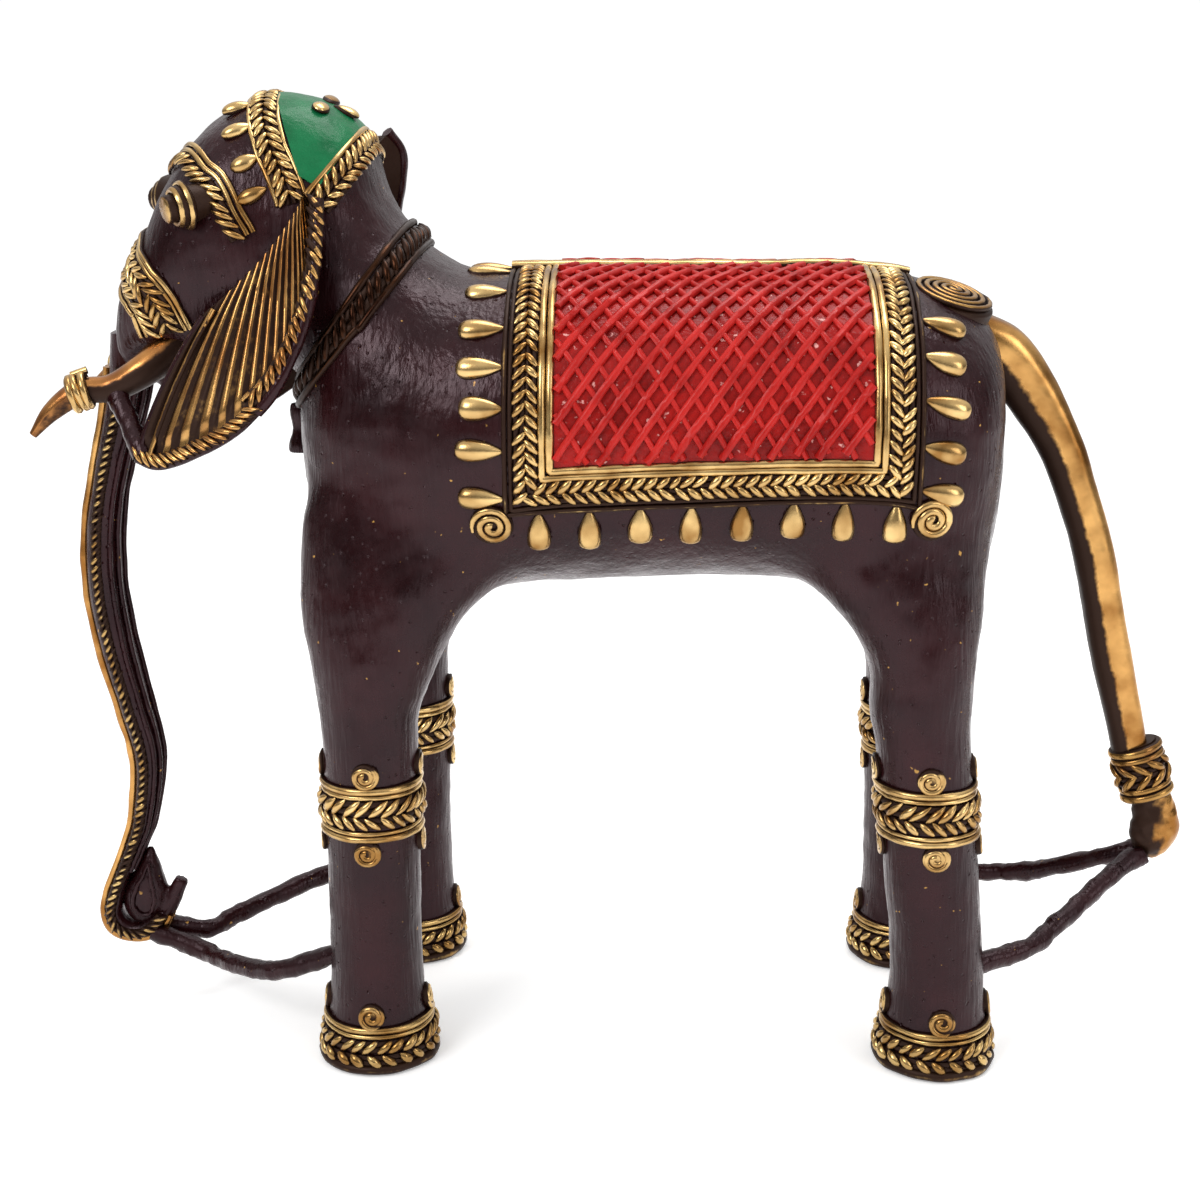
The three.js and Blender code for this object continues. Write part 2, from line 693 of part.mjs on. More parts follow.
function ear(side, grow) {
  const geometry = plate(earShares.length, earColumns, (i, j, upper) => {
    const t = j / (earColumns - 1);
    const share = earShares[i] + (i === earShares.length - 1 ? grow / 30 : 0) - (i === 0 ? grow / 4 : 0);
    const step = 0.01;
    const low = Math.max(t - step, 0);
    const high = Math.min(t + step, 1);
    const across = earMiddle(side, share, high).sub(earMiddle(side, share, low));
    const ahead = earMiddle(side, share + step, t).sub(earMiddle(side, share - step, t));
    const outwards = ahead.cross(across).normalize();
    if (outwards.y < 0) outwards.negate();
    const onRim = i >= earShares.length - 2;
    const rib = !onRim && upper && j % 2 === 1 ? ribHeight : 0;
    const thickness = onRim ? rimThickness : earThickness;
    const lift = thickness / 2 + rib + grow;
    const beyond = (j === earColumns - 1 ? grow : 0) - (j === 0 ? grow : 0);
    const point = earMiddle(side, share, t).addScaledVector(across.normalize(), beyond);
    return point.addScaledVector(outwards, upper ? lift : -lift);
  });
  const position = geometry.getAttribute('position');
  const points = [];
  for (let i = 0; i < position.count; i += 1) {
    points.push(vec(position.getX(i), side * position.getY(i), position.getZ(i)));
  }
  return outward(points, Array.from(geometry.index.array));
}

const earCutters = [ear(NEAR, clearance), ear(FAR, clearance)];
add('near_ear', cut(ear(NEAR, 0), [headCutter]), 'brass');
add('far_ear', cut(ear(FAR, 0), [headCutter]), 'brass');

// Eyes: stepped cones that look forward and outward. The far one was set further forward and made longer.
const eyeProfile = [
  [0, -0.4], [1, -0.4], [1, 0.14], [0.84, 0.2], [0.88, 0.38], [0.72, 0.44], [0.75, 0.6], [0.6, 0.66],
  [0.62, 0.9], [0, 0.9],
];
const eyeCutters = [];

for (const [name, station, angle, gaze, length] of [
  ['near_eye', 5.5, 1.33, vec(-5.3, -5, 0.7), eyeLength],
  ['far_eye', 7, -0.95, vec(-6.5, 2.4, 0.3), eyeLength * 1.6],
]) {
  const place = headSkin.point(station, angle);
  const turn = new THREE.Quaternion().setFromUnitVectors(vec(0, 0, 1), gaze.normalize());
  const turned = (profile) => {
    const geometry = new THREE.LatheGeometry(profile, 10);
    geometry.rotateX(Math.PI / 2);
    geometry.applyQuaternion(turn);
    geometry.translate(place.x, place.y, place.z);
    return geometry;
  };
  const stepped = turned(eyeProfile.map(([radius, height]) => (
    new THREE.Vector2(radius * eyeRadius, height * length)
  )));
  const wide = eyeRadius + clearance;
  eyeCutters.push(turned([
    new THREE.Vector2(0, -length), new THREE.Vector2(wide, -length), new THREE.Vector2(wide, length),
    new THREE.Vector2(0, length),
  ]));
  add(name, cut(stepped, [headCutter]), 'brass');
}

// Tusks, each with a knotted ring. Their points lie ahead of, outward from and below the root.
const tuskRings = [];
const tuskCutters = [];

for (const [name, side] of [['near_tusk', NEAR], ['far_tusk', FAR]]) {
  const root = vec(14.7 - muzzleReach, side * tuskSpread / 2, jawHeight + 5.5);
  const offset = (ahead, outwards, below) => root.clone().add(vec(-ahead, side * outwards, -below));
  const points = [
    offset(-4, -2, -3.5), offset(0, 0, 0), offset(6.5, 0.9, 5.5), offset(12.9, 1.5, 8.9),
    offset(19.2, 2.5, 9.6), offset(25, 3.3, 13.5), offset(29.1, 4, 18.3),
  ];
  const shares = [1.6, 1.45, 1.2, 1, 0.93, 0.7, 0.3];
  const cutter = bar(points, shares.map((share) => share * tuskRadius + clearance), 12, 7);
  tuskCutters.push(cutter);
  add(name, cut(bar(points, shares.map((share) => share * tuskRadius), 12, 7), [headCutter]), 'brass');
  const ringPath = [offset(17, 2.2, 9.3), offset(19, 2.5, 9.6), offset(21, 2.8, 10.4)];
  const ring = bar(ringPath, [tuskRadius + 1, tuskRadius + 2, tuskRadius + 1], 2, 10);
  tuskRings.push([`${name}_ring`, cut(ring, [cutter])]);
}
for (const [name, geometry] of tuskRings) add(name, geometry, 'brass');

// Forehead band: a rope between wires that rises from each ear to the middle of the forehead
const foreheadLine = bothSides([[3.7, 1.56], [4.3, 1.42], [4.95, 1.2], [5.5, 0.98], [6.3, 0.36]], [6.55, 0]);
const foreheadBand = strip(headSkin, foreheadLine, bandSection(5.6, 1), 16);
add('forehead_band', cut(foreheadBand, [headTrimmer, ...earCutters, ...eyeCutters]), 'brass');

// Muzzle band: three ropes between wires, saddled over the root of the trunk
const muzzleLine = bothSides([[5.5, 2.15], [6.6, 1.88], [7.75, 1.5], [8.6, 0.95]], [9, 0]);
const muzzleBand = strip(headSkin, muzzleLine, bandSection(9.8, 3), 14);
add('muzzle_band', cut(muzzleBand, [headTrimmer, ...earCutters, ...tuskCutters]), 'brass');

// Cap: a painted field between two bands that come together above the ears. The front band bears leaf drops.
const capBandWidth = 6.2;
const frontBandLine = bothSides([[3.3, 1.16], [3.65, 1.04], [4.05, 0.88], [4.5, 0.55]], [4.75, 0]);
const rearBandLine = bothSides([[2.36, 1.16], [2.22, 0.8], [2.18, 0.4]], [2.2, 0]);
const leaf = dropOutline(6.4, 3.4);
const frontBand = [strip(headSkin, frontBandLine, bandSection(capBandWidth, 2), 14)];

for (const side of [NEAR, FAR]) {
  for (const [station, angle] of [[4.72, 0.24], [4.5, 0.56], [4.1, 0.85], [3.68, 1.04]]) {
    const heading = headSkin.slopes(station, side * angle).along.clone().normalize();
    const start = heading.clone().multiplyScalar(capBandWidth / 2 - spiralBite);
    const place = headSkin.slide(station, side * angle, start);
    frontBand.push(stud(headSkin, ...place, heading, leaf, wireHeight));
  }
}
add('cap_front_band', cut(join(frontBand), [headTrimmer, ...earCutters]), 'brass');
const rearBand = strip(headSkin, rearBandLine, bandSection(capBandWidth, 2), 12);
add('cap_rear_band', cut(rearBand, [headTrimmer, ...earCutters]), 'brass');

const capRows = 9;
const capColumns = 4;
const capReach = 1.02;         // angle down each side
add('cap_field', plate(capRows, capColumns, (i, j, upper) => {
  const share = (2 * i) / (capRows - 1) - 1;
  const front = 4.3 - 1.3 * share ** 2;
  const rear = 2.66 + 0.12 * Math.abs(share);
  const station = rear + ((front - rear) * j) / (capColumns - 1);
  return headSkin.point(station, share * capReach, seat + (upper ? clothThickness : 0));
}), 'green');

// Rosette on the cap: four petals in a cross round a small knob
const petalOnCap = dropOutline(7, 4.6);
const rosetteBase = clothThickness + 2 * clearance;
const petalHeight = 1.2;
const rosette = [stud(headSkin, 3.45, 0, vec(1, 0, 0), roundOutline(1.8, 6), petalHeight + 0.4, rosetteBase)];
for (let quarter = 0; quarter < 4; quarter += 1) {
  const heading = vec(Math.cos(quarter * sideways), Math.sin(quarter * sideways), 0);
  rosette.push(stud(headSkin, 3.45, 0, heading, petalOnCap, petalHeight, rosetteBase));
}
add('cap_rosette', join(rosette), 'brass');

// Trunk ornament: a flat ridge down the front and a rope down each edge
const ridgeSection = [[-1.7, 0], [-1.7, wireHeight], [1.7, wireHeight], [1.7, 0]];
const ropeSection = [[-1.1, 0], [-1.1, 0.8], [0, 1.6], [1.1, 0.8], [1.1, 0]];
const trunkFront = (angle) => [0.5, 2, 4, 6, 8, 8.8].map((station) => [station, angle]);
for (const [name, angle, section] of [
  ['trunk_ridge', 0, ridgeSection],
  ['near_trunk_rope', 1.15, ropeSection],
  ['far_trunk_rope', -1.15, ropeSection],
]) {
  add(name, cut(strip(trunkSkin, trunkFront(angle), section, 12), [headCutter, trunkTrimmer]), 'brass');
}

// Petal at the trunk's tip. Each level gives its drop below the tip, its front and rear edge, its thickness.
const tipMiddle = -muzzleReach - 4.2;
const petalLevel = (drop, front, rear, thickness) => ({
  top: [tipMiddle + front * petalDepth, trunkTipHeight - drop],
  bottom: [tipMiddle + rear * petalDepth, trunkTipHeight - drop],
  half: (thickness * petalThickness) / 2,
});
const petalSkin = new Skin([
  petalLevel(0.7, -0.16, 0.2, 0.6), petalLevel(4, -0.28, 0.28, 0.86), petalLevel(9, -0.52, 0.42, 1),
  petalLevel(15, -0.72, 0.68, 1), petalLevel(19, -0.6, 0.6, 0.86), petalLevel(23, -0.36, 0.34, 0.57),
  petalLevel(25.5, -0.2, 0.1, 0.3),
]);
add('trunk_tip', cut(petalSkin.solid(9, 8), [trunkCutter]), 'brass');
const petalCutter = petalSkin.solid(9, 8, clearance);

// Tail ring, three turns of rope round the tail's end, and the tuft under it
const ringDepth = 12;
const tailLevel = (drop, front, rear, across) => ({
  top: [tailReach + rear, tailEndHeight - drop],
  bottom: [tailReach + front, tailEndHeight - drop],
  half: across / 2,
});
const ringSkin = new Skin([
  tailLevel(0.6, -3.4, 6.2, tailWidth + 0.6),
  tailLevel(0.25 * ringDepth, -4.3, 7.4, tailWidth + 2.8),
  tailLevel(0.42 * ringDepth, -3.4, 7, tailWidth + 1.6),
  tailLevel(0.58 * ringDepth, -3.6, 8.6, tailWidth + 3),
  tailLevel(0.75 * ringDepth, -2.6, 8.4, tailWidth + 1.8),
  tailLevel(0.92 * ringDepth, -2.5, 9.6, tailWidth + 2.8),
  tailLevel(ringDepth + 0.7, -1.4, 9, tailWidth + 0.6),
]);
add('tail_ring', cut(ringSkin.solid(12, 8), [tailCutter]), 'brass');

const tuftTop = ringDepth + 0.7 + clearance;
const tuftSkin = new Skin([
  tailLevel(tuftTop, 1, 10, tailWidth - 0.6), tailLevel(tuftTop + 0.15 * tuftLength, 0.8, 11.6, tailWidth),
  tailLevel(tuftTop + 0.5 * tuftLength, 1, 12, tailWidth - 0.2),
  tailLevel(tuftTop + 0.8 * tuftLength, 1.2, 10.5, tailWidth - 1.6),
  tailLevel(tuftTop + tuftLength, 4, 8.5, tailWidth - 3.6),
]);
add('tail_tuft', tuftSkin.solid(6, 8), 'brass');
const tuftCutter = tuftSkin.solid(6, 8, clearance);

// Boss on the rump in front of the tail's root
const bossStation = stationAt(torsoSkin, 0, 'x', rumpReach - 9.5);
const boss = stud(torsoSkin, bossStation, bossTurn, vec(1, 0, 0), roundOutline(bossRadius, 12), 2.4);
add('tail_root_boss', cut(boss, [torsoCutter, tailCutter]), 'brass');

// Blanket. A place on it is a distance along the back and a distance down from the spine over the flank.
function flank(x, drop, side) {
  let place = [stationAt(torsoSkin, 0, 'x', x), 0];
  const steps = Math.max(1, Math.ceil(Math.abs(drop) / 3));
  for (let i = 0; i < steps; i += 1) {
    const { out } = torsoSkin.slopes(...place);
    const down = out.clone().cross(vec(side, 0, 0)).setLength(drop / steps);
    place = torsoSkin.slide(...place, down);
    place = torsoSkin.slide(...place, vec(x - torsoSkin.bare(...place).x, 0, 0));
  }
  return place;
}

const spineEdge = spineWireWidth / 2 + clearance;
const frontEdge = -blanketFront;
const fieldFront = frontEdge + borderWidth - 1;
const fieldBack = blanketBack - borderWidth + 2;
const fieldDrop = blanketDrop - borderWidth;

function between(from, to, cells) {
  return Array.from({ length: cells + 1 }, (_, i) => from + ((to - from) * i) / cells);
}

const fieldXs = between(fieldFront + clearance, fieldBack - clearance, 6);
const fieldDrops = between(spineEdge, fieldDrop - clearance, 8);
const borderXs = [...between(frontEdge, fieldFront, 2), ...between(fieldFront, fieldBack, 6).slice(1, -1)];
borderXs.push(...between(fieldBack, blanketBack, 2));
const borderDrops = [...between(spineEdge, fieldDrop, 7), ...between(fieldDrop, blanketDrop, 2).slice(1)];
const drop = dropOutline(dropLength, dropWidth);
const dropSpacing = 8.8;
const cornerSpiral = roundOutline(4, 8);

for (const [name, side] of [['near', NEAR], ['far', FAR]]) {
  add(`${name}_blanket_field`, plate(fieldXs.length, fieldDrops.length, (i, j, upper) => (
    torsoSkin.point(...flank(fieldXs[i], fieldDrops[j], side), seat + (upper ? clothThickness : 0))
  )), 'red');

  const pieces = [plate(borderXs.length, borderDrops.length, (i, j, upper) => {
    const inMiddle = i === 1 || i === borderXs.length - 2 || j === borderDrops.length - 2;
    const onOuterEdge = i === 0 || i === borderXs.length - 1 || j === borderDrops.length - 1;
    const height = inMiddle && !onOuterEdge ? ropeHeight : wireHeight;
    return torsoSkin.point(...flank(borderXs[i], borderDrops[j], side), seat + (upper ? height : 0));
  }, (i, j) => i < 2 || i >= borderXs.length - 3 || j >= borderDrops.length - 3)];

  const hang = (x, down, heading, outline) => {
    pieces.push(stud(torsoSkin, ...flank(x, down, side), heading, outline, ropeHeight));
  };
  for (let i = 0; i < 7; i += 1) {
    const down = blanketDrop - 6 - i * dropSpacing;
    hang(frontEdge + spiralBite, down, vec(-1, 0, 0), drop);
    if (i < 5) hang(blanketBack - spiralBite, down, vec(1, 0, 0), drop);
  }
  for (let i = 0; i < 8; i += 1) {
    const x = frontEdge + 7 + (i * (blanketBack - frontEdge - 12)) / 7;
    hang(x, blanketDrop - spiralBite, vec(0, 0, -1), drop);
  }
  hang(frontEdge - 1.5, blanketDrop + 1.5, upward, cornerSpiral);
  hang(blanketBack + 1.5, blanketDrop + 1.5, upward, cornerSpiral);
  add(`${name}_blanket_border`, cut(join(pieces), legCutters), 'brass');
}

const spineWires = [
  [-spineWireWidth / 2, 0], [-spineWireWidth / 2, wireHeight], [0, wireHeight / 2],
  [spineWireWidth / 2, wireHeight], [spineWireWidth / 2, 0],
];
const spineLine = between(frontEdge, blanketBack, 5).map((x) => [stationAt(torsoSkin, 0, 'x', x), 0]);
add('spine_wires', strip(torsoSkin, spineLine, spineWires, 8), 'brass');

// Stays from the free ends to the body: trunk tip to front legs, tuft to hind legs, tusks to ears

for (const [name, side, rise] of [['near', NEAR, 0.7], ['far', FAR, -0.4]]) {
  const legY = (side * legSpread) / 2;
  const front = -frontLegReach - legRadius;
  const frontPoints = [
    vec(tipMiddle + 3, side * 2.5, 17), vec(front - 34, legY * 0.12, 13.4 - 2 * rise),
    vec(front - 28, legY * 0.33, 13.2 - 1.6 * rise), vec(front - 14, legY * 0.8, 16.4 - rise),
    vec(front + 2, legY, 22.6),
  ];
  const frontStay = bar(frontPoints, frontPoints.map(() => stayRadius - 0.2), 9, 6);
  add(`${name}_front_stay`, cut(frontStay, [petalCutter, ...legCutters]), 'skin');

  const hind = hindLegReach + legRadius;
  const hindPoints = [
    vec(tailReach + 4, side * 2.7, tailEndHeight - 25.2),
    vec(tailReach - 1, side * 3.4, tailEndHeight - 26.8),
    vec(hind + 19, side * 14, 26.2), vec(hind + 10, side * 21, 22.6), vec(hind - 2, legY, 21.2),
  ];
  const hindStay = bar(hindPoints, hindPoints.map(() => stayRadius), 8, 6);
  add(`${name}_hind_stay`, cut(hindStay, [tuftCutter, ...legCutters]), 'skin');

  const tusk = vec(2.3 - muzzleReach, side * 16, jawHeight - 3.2);
  const earTip = earMiddle(side, 0.97, 0.97);
  earTip.y *= side;
  const tuskStay = bar([tusk, tusk.clone().lerp(earTip, 0.5), earTip], [1.7, 1.5, 1.7], 3, 6);
  const tuskCutter = tuskCutters[side === NEAR ? 0 : 1];
  const earCutter = earCutters[side === NEAR ? 0 : 1];
  add(`${name}_tusk_stay`, cut(tuskStay, [tuskCutter, earCutter]), 'skin');
}

// The origin stands on the floor under the middle of the whole figure
const bounds = new THREE.Box3().setFromObject(elephant);
const middle = bounds.getCenter(vec(0, 0, 0));
for (const mesh of elephant.children) mesh.geometry.translate(-middle.x, -middle.y, -bounds.min.z);

export default elephant;
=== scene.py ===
# Elephant figurine, cast in brass by the lost wax method. Its skin is left in a dark patina, and the wax
# threads that ornament it are rubbed back to bright metal. The pieces follow in the order in which the wax is
# built up.

import math

import bpy
import numpy as np
from mathutils import Matrix, Vector
from mathutils.bvhtree import BVHTree


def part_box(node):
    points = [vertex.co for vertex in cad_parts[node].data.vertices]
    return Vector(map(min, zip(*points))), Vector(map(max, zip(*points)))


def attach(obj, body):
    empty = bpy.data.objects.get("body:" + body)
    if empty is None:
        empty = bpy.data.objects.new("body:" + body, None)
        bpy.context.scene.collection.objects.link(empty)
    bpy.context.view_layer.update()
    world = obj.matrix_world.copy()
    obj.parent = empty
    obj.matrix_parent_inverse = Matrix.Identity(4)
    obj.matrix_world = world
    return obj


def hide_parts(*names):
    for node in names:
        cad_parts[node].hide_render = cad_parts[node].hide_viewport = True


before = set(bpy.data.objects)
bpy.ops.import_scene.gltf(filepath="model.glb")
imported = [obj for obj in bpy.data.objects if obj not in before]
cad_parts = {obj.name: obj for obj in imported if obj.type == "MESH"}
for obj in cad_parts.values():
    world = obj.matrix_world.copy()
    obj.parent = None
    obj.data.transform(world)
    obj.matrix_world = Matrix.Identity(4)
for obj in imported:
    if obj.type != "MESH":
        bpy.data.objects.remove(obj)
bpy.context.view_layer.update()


# Camera. The photograph looks down on the near side from a little above the crown, with a normal lens. Its
# tilt was worked out from the four feet, which stand on one floor.

camera_data = bpy.data.cameras.new("camera")
camera_data.lens = 57.0
camera_data.sensor_width = 36.0
camera = bpy.data.objects.new("camera", camera_data)
camera.location = (0.00324, -0.3996, 0.2005)
camera.rotation_euler = (math.radians(90 - 14.9), 0, math.radians(1.4))
bpy.context.scene.collection.objects.link(camera)
bpy.context.scene.camera = camera


# Skin. Torso, head and four legs are one sheet of wax over a clay core, smoothed by hand, so they show as one
# surface with soft hollows where the legs and the neck run in. All sizes are in millimetres.

MM = 0.001
NEAR, FAR = -1, 1
SIDES = (("near", NEAR), ("far", FAR))
rump, back, belly, withers, barrel_half = 79.5, 165.5, 101.0, 24.0, 37.0
centre_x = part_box("torso")[1].x / MM - rump      # the figure was centred by this much along its length


def bend(value, power):
    """A power that keeps the sign, which squares off a round section."""
    return np.sign(value) * np.abs(value) ** power


def flowing(rows, place):
    """A smooth line through rows of numbers, read at places counted in rows."""
    rows = np.vstack([2 * rows[0] - rows[1], rows, 2 * rows[-1] - rows[-2]])
    i = np.minimum(place.astype(int), len(rows) - 4)
    w = (place - i)[:, None]
    before, here, there, after = (rows[i + k] for k in range(4))
    leave, arrive = (there - before) / 2, (after - here) / 2
    line = here + w * leave + w ** 2 * (3 * (there - here) - 2 * leave - arrive)
    return line + w ** 3 * (2 * (here - there) + leave + arrive)


class Form:
    """A tapering body over stations of (top x, top z, bottom x, bottom z, half width, y of the middle)."""

    def __init__(self, stations, squareness):
        self.rows = np.array([tuple(row) + (0.0,) * (6 - len(row)) for row in stations], float)
        self.rows[:, [0, 2]] += centre_x
        self.last = len(self.rows) - 1
        self.power = 2 / squareness
        self.turn = 1.0
        if self.slopes(self.last / 2, math.pi / 2)[2][0, 1] > 0:
            self.turn = -1.0

    def bare(self, station, angle):
        """Places on the form, by station along it and by angle round it from the top to the near side."""
        station, angle = np.broadcast_arrays(np.atleast_1d(station).astype(float), angle)
        row = flowing(self.rows, np.clip(station, 0, self.last))
        top_x, top_z, low_x, low_z, half_width, middle = row.T
        up = bend(np.cos(angle), self.power) / 2
        x = (top_x + low_x) / 2 + (top_x - low_x) * up
        z = (top_z + low_z) / 2 + (top_z - low_z) * up
        return np.stack([x, middle - half_width * bend(np.sin(angle), self.power), z], 1)

    def slopes(self, station, angle):
        """How a place moves with the station and with the angle, and the direction out of the form there."""
        station, angle = np.broadcast_arrays(np.atleast_1d(station).astype(float), angle)
        step = 0.02
        low, high = np.maximum(station - step, 0), np.minimum(station + step, self.last)
        along = (self.bare(high, angle) - self.bare(low, angle)) / (high - low)[:, None]
        around = (self.bare(station, angle + step) - self.bare(station, angle - step)) / (2 * step)
        out = np.cross(around, along)
        return along, around, self.turn * out / np.linalg.norm(out, axis=1, keepdims=True)

    def slide(self, station, angle, shift):
        """The station and angle of a place that is moved over the form by a small shift."""
        along, around, _ = self.slopes(station, angle)
        aa, ar, rr = (along * along).sum(1), (along * around).sum(1), (around * around).sum(1)
        sa, sr = (shift * along).sum(1), (shift * around).sum(1)
        det = aa * rr - ar * ar
        return station + (sa * rr - sr * ar) / det, angle + (sr * aa - sa * ar) / det


def deselect():
    """Leaves edit mode and lets everything go, so that an operator acts on nothing by chance."""
    if bpy.context.mode != "OBJECT":
        bpy.ops.object.mode_set(mode="OBJECT")
    bpy.ops.object.select_all(action="DESELECT")


def pick(*pieces):
    """Selects these pieces alone, the first of them active."""
    deselect()
    for piece in pieces:
        piece.select_set(True)
    bpy.context.view_layer.objects.active = pieces[0]


def take(piece):
    """The points of a mesh, in millimetres."""
    points = np.empty(len(piece.data.vertices) * 3, np.float32)
    piece.data.vertices.foreach_get("co", points)
    return points.reshape(-1, 3).astype(float) / MM


def give(piece, points):
    """Sets the points of a mesh, in millimetres."""
    piece.data.vertices.foreach_set("co", (np.asarray(points) * MM).astype(np.float32).ravel())
    piece.data.update()


def made(name):
    """The piece that was made last, under its own name."""
    piece = bpy.context.active_object
    piece.name = piece.data.name = name
    return piece


weld_gap = 0.02          # points nearer than this to each other are one


def shell(name, form, rows, around):
    """A sheet of wax wrapped round a form and closed at both ends."""
    deselect()
    bpy.ops.mesh.primitive_grid_add(x_subdivisions=rows, y_subdivisions=around, size=2)
    piece = made(name)
    flat = take(piece) * MM
    give(piece, form.bare((flat[:, 0] + 1) / 2 * form.last, (flat[:, 1] + 1) * math.pi))
    bpy.ops.object.mode_set(mode="EDIT")
    bpy.ops.mesh.select_all(action="SELECT")
    bpy.ops.mesh.remove_doubles(threshold=weld_gap * MM)
    bpy.ops.mesh.select_all(action="DESELECT")
    bpy.ops.mesh.select_non_manifold()
    bpy.ops.mesh.fill_holes(sides=0)
    bpy.ops.mesh.select_all(action="SELECT")
    bpy.ops.mesh.normals_make_consistent(inside=False)
    bpy.ops.object.mode_set(mode="OBJECT")
    return piece


def finish_with(piece, kind, **settings):
    """Puts one modifier on a piece and applies it."""
    pick(piece)
    modifier = piece.modifiers.new(kind.lower(), kind)
    for key, value in settings.items():
        setattr(modifier, key, value)
    bpy.ops.object.modifier_apply(modifier=modifier.name)


def joined(name, pieces):
    """Several pieces as one, under a new name."""
    pick(*pieces)
    if len(pieces) > 1:
        bpy.ops.object.join()
    return made(name)


def smooth(piece, angle=40):
    """Shades a piece smooth, apart from edges sharper than an angle in degrees."""
    pick(piece)
    bpy.ops.object.shade_smooth_by_angle(angle=math.radians(angle))


torso_form = Form([
    (rump, back - 25, rump, belly + 20, barrel_half - 29),
    (rump - 1.2, back - 15, rump - 1, belly + 8, barrel_half - 17),
    (rump - 4, back - 9, rump - 3.5, belly + 2, barrel_half - 10),
    (rump - 9, back - 4.8, rump - 8.5, belly - 1, barrel_half - 5),
    (rump - 18, back - 1.6, rump - 17, belly - 1.5, barrel_half - 2),
    (rump - 30, back, rump - 30, belly - 0.5, barrel_half - 0.5),
    (20, back, 20, belly + 1, barrel_half),
    (14 - withers, back, 12 - withers, belly - 0.5, barrel_half),
    (-withers, back - 0.5, -withers - 10, belly - 2, barrel_half - 1),
    (-withers - 7, back, -withers - 24, belly - 1, barrel_half - 3),
    (-withers - 12, back + 2.2, -withers - 37.4, belly + 8, barrel_half - 5.5),
    (-withers - 16, back + 5.2, -withers - 42.4, belly + 25, 27.8),
    (-withers - 20, back + 9.5, -withers - 41.6, belly + 43, 25),
], squareness=2.35)

crown, jaw, poll, face, head_half, muzzle_half = 200.0, 146.0, 47.5, 57.5, 21.5, 9.0
head_form = Form([
    (-withers - 20.24, back + 9.68, -withers - 41.84, belly + 43.18, 24.7),
    *((-poll - top_ahead, crown - top_drop, -poll - jaw_ahead, jaw - jaw_drop, half)
      for top_ahead, top_drop, jaw_ahead, jaw_drop, half in [
        (0.5, 17.5, 23.5, -0.5, head_half + 2),
        (2.5, 10.2, 28.5, -1.5, head_half + 1),
        (7.5, 3.6, 34.5, -1.2, head_half + 0.5),
        (16.5, 0.2, face - 17, -0.5, head_half),
        (26.5, 0.3, face - 13, 0, head_half - 0.5),
        (36, 5.6, face - 10, -0.5, head_half - 1.5),
        (face - 14.2, 14.6, face - 8, -0.5, head_half - 3.5),
        (face - 9.2, 24, face - 6.5, 0, head_half - 6),
        (face - 5.2, 31.5, face - 5.2, 0.8, head_half - 8.5),
        (face - 1.6, 39.5, face - 4.4, 1.8, muzzle_half + 2),
        (face, 47, face - 3.6, 2.8, muzzle_half),
    ]),
], squareness=2.2)

leg_radius, sole_radius, leg_spread = 9.8, 11.6, 53.0
front_leg_x, far_front_leg_x, hind_leg_x = -50.9, -49.9, 68.6
hind_leg_lean, far_hind_leg_lean = 5.8, 1.5
shin_low, shin_high = 22, belly - 23


def leg_form(side, end):
    """A leg from its flared foot up into the body, where it swells outwards and arches in to the belly."""
    if end == "front":
        away, lean, arch, swell = -1, 0, 11.5, 2.6
        middle = far_front_leg_x if side == FAR else front_leg_x
    else:
        away, middle, arch, swell = 1, hind_leg_x, 7.5, 1
        lean = far_hind_leg_lean if side == FAR else hind_leg_lean
    r = leg_radius
    shin = [(0, sole_radius), (5, sole_radius - 0.1), (10, sole_radius - 0.8), (15.5, r + 0.3),
            (shin_low, r), (42.7, r), (57.7, r), (70.7, r)]
    rows = []
    for z, outer, inner, across, inset in [
        *((height, radius, radius, radius, 0) for height, radius in shin),
        (shin_high, r + 0.2 + swell * 0.2, r + 0.8, r + 0.6, 0.4),
        (belly - 14, r + 1 + swell * 0.5, r + arch - 6.6, r + 1.8, 1),
        (belly - 8, r + 1.8 + swell * 0.8, r + arch - 3.5, r + 2.6, 2),
        (belly - 2, r + 2.4 + swell, r + arch + 1, r + 3.2, 3.2),
        (belly + 4, r + 2.4 + swell, r + arch + 7, r + 3.2, 4.2),
        (belly + 12, r + 1.8 + swell, r + arch + 4, r + 2.2, 4.4),
        (belly + 21, r - 2 + 2 * swell, r + arch, r - 0.5, 3.6),
    ]:
        x = middle - lean * min(max((z - shin_low) / (shin_high - shin_low), 0), 1)
        rows.append((x + away * outer, z, x - away * inner, z, across, side * (leg_spread / 2 - inset)))
    return Form(rows, squareness=2)


legs = {f"{side_name}_{end}": leg_form(side, end)
        for side_name, side in SIDES for end in ("front", "hind")}

# The neck's end reaches this far into the torso, so that the two fuse
head_shell = shell("head_shell", head_form, rows=96, around=96)
head_points = take(head_shell)
neck_axis, neck_end, neck_overlap = np.array([0.79, 0, -0.61]), [centre_x - withers - 31, 0, 160], 4
head_points[(head_points - neck_end) @ neck_axis > -1.2] += neck_axis * neck_overlap
give(head_shell, head_points)
skin_shells = [shell("torso_shell", torso_form, rows=120, around=120), head_shell]
skin_shells += [shell(f"{name}_shell", form, rows=90, around=56) for name, form in legs.items()]

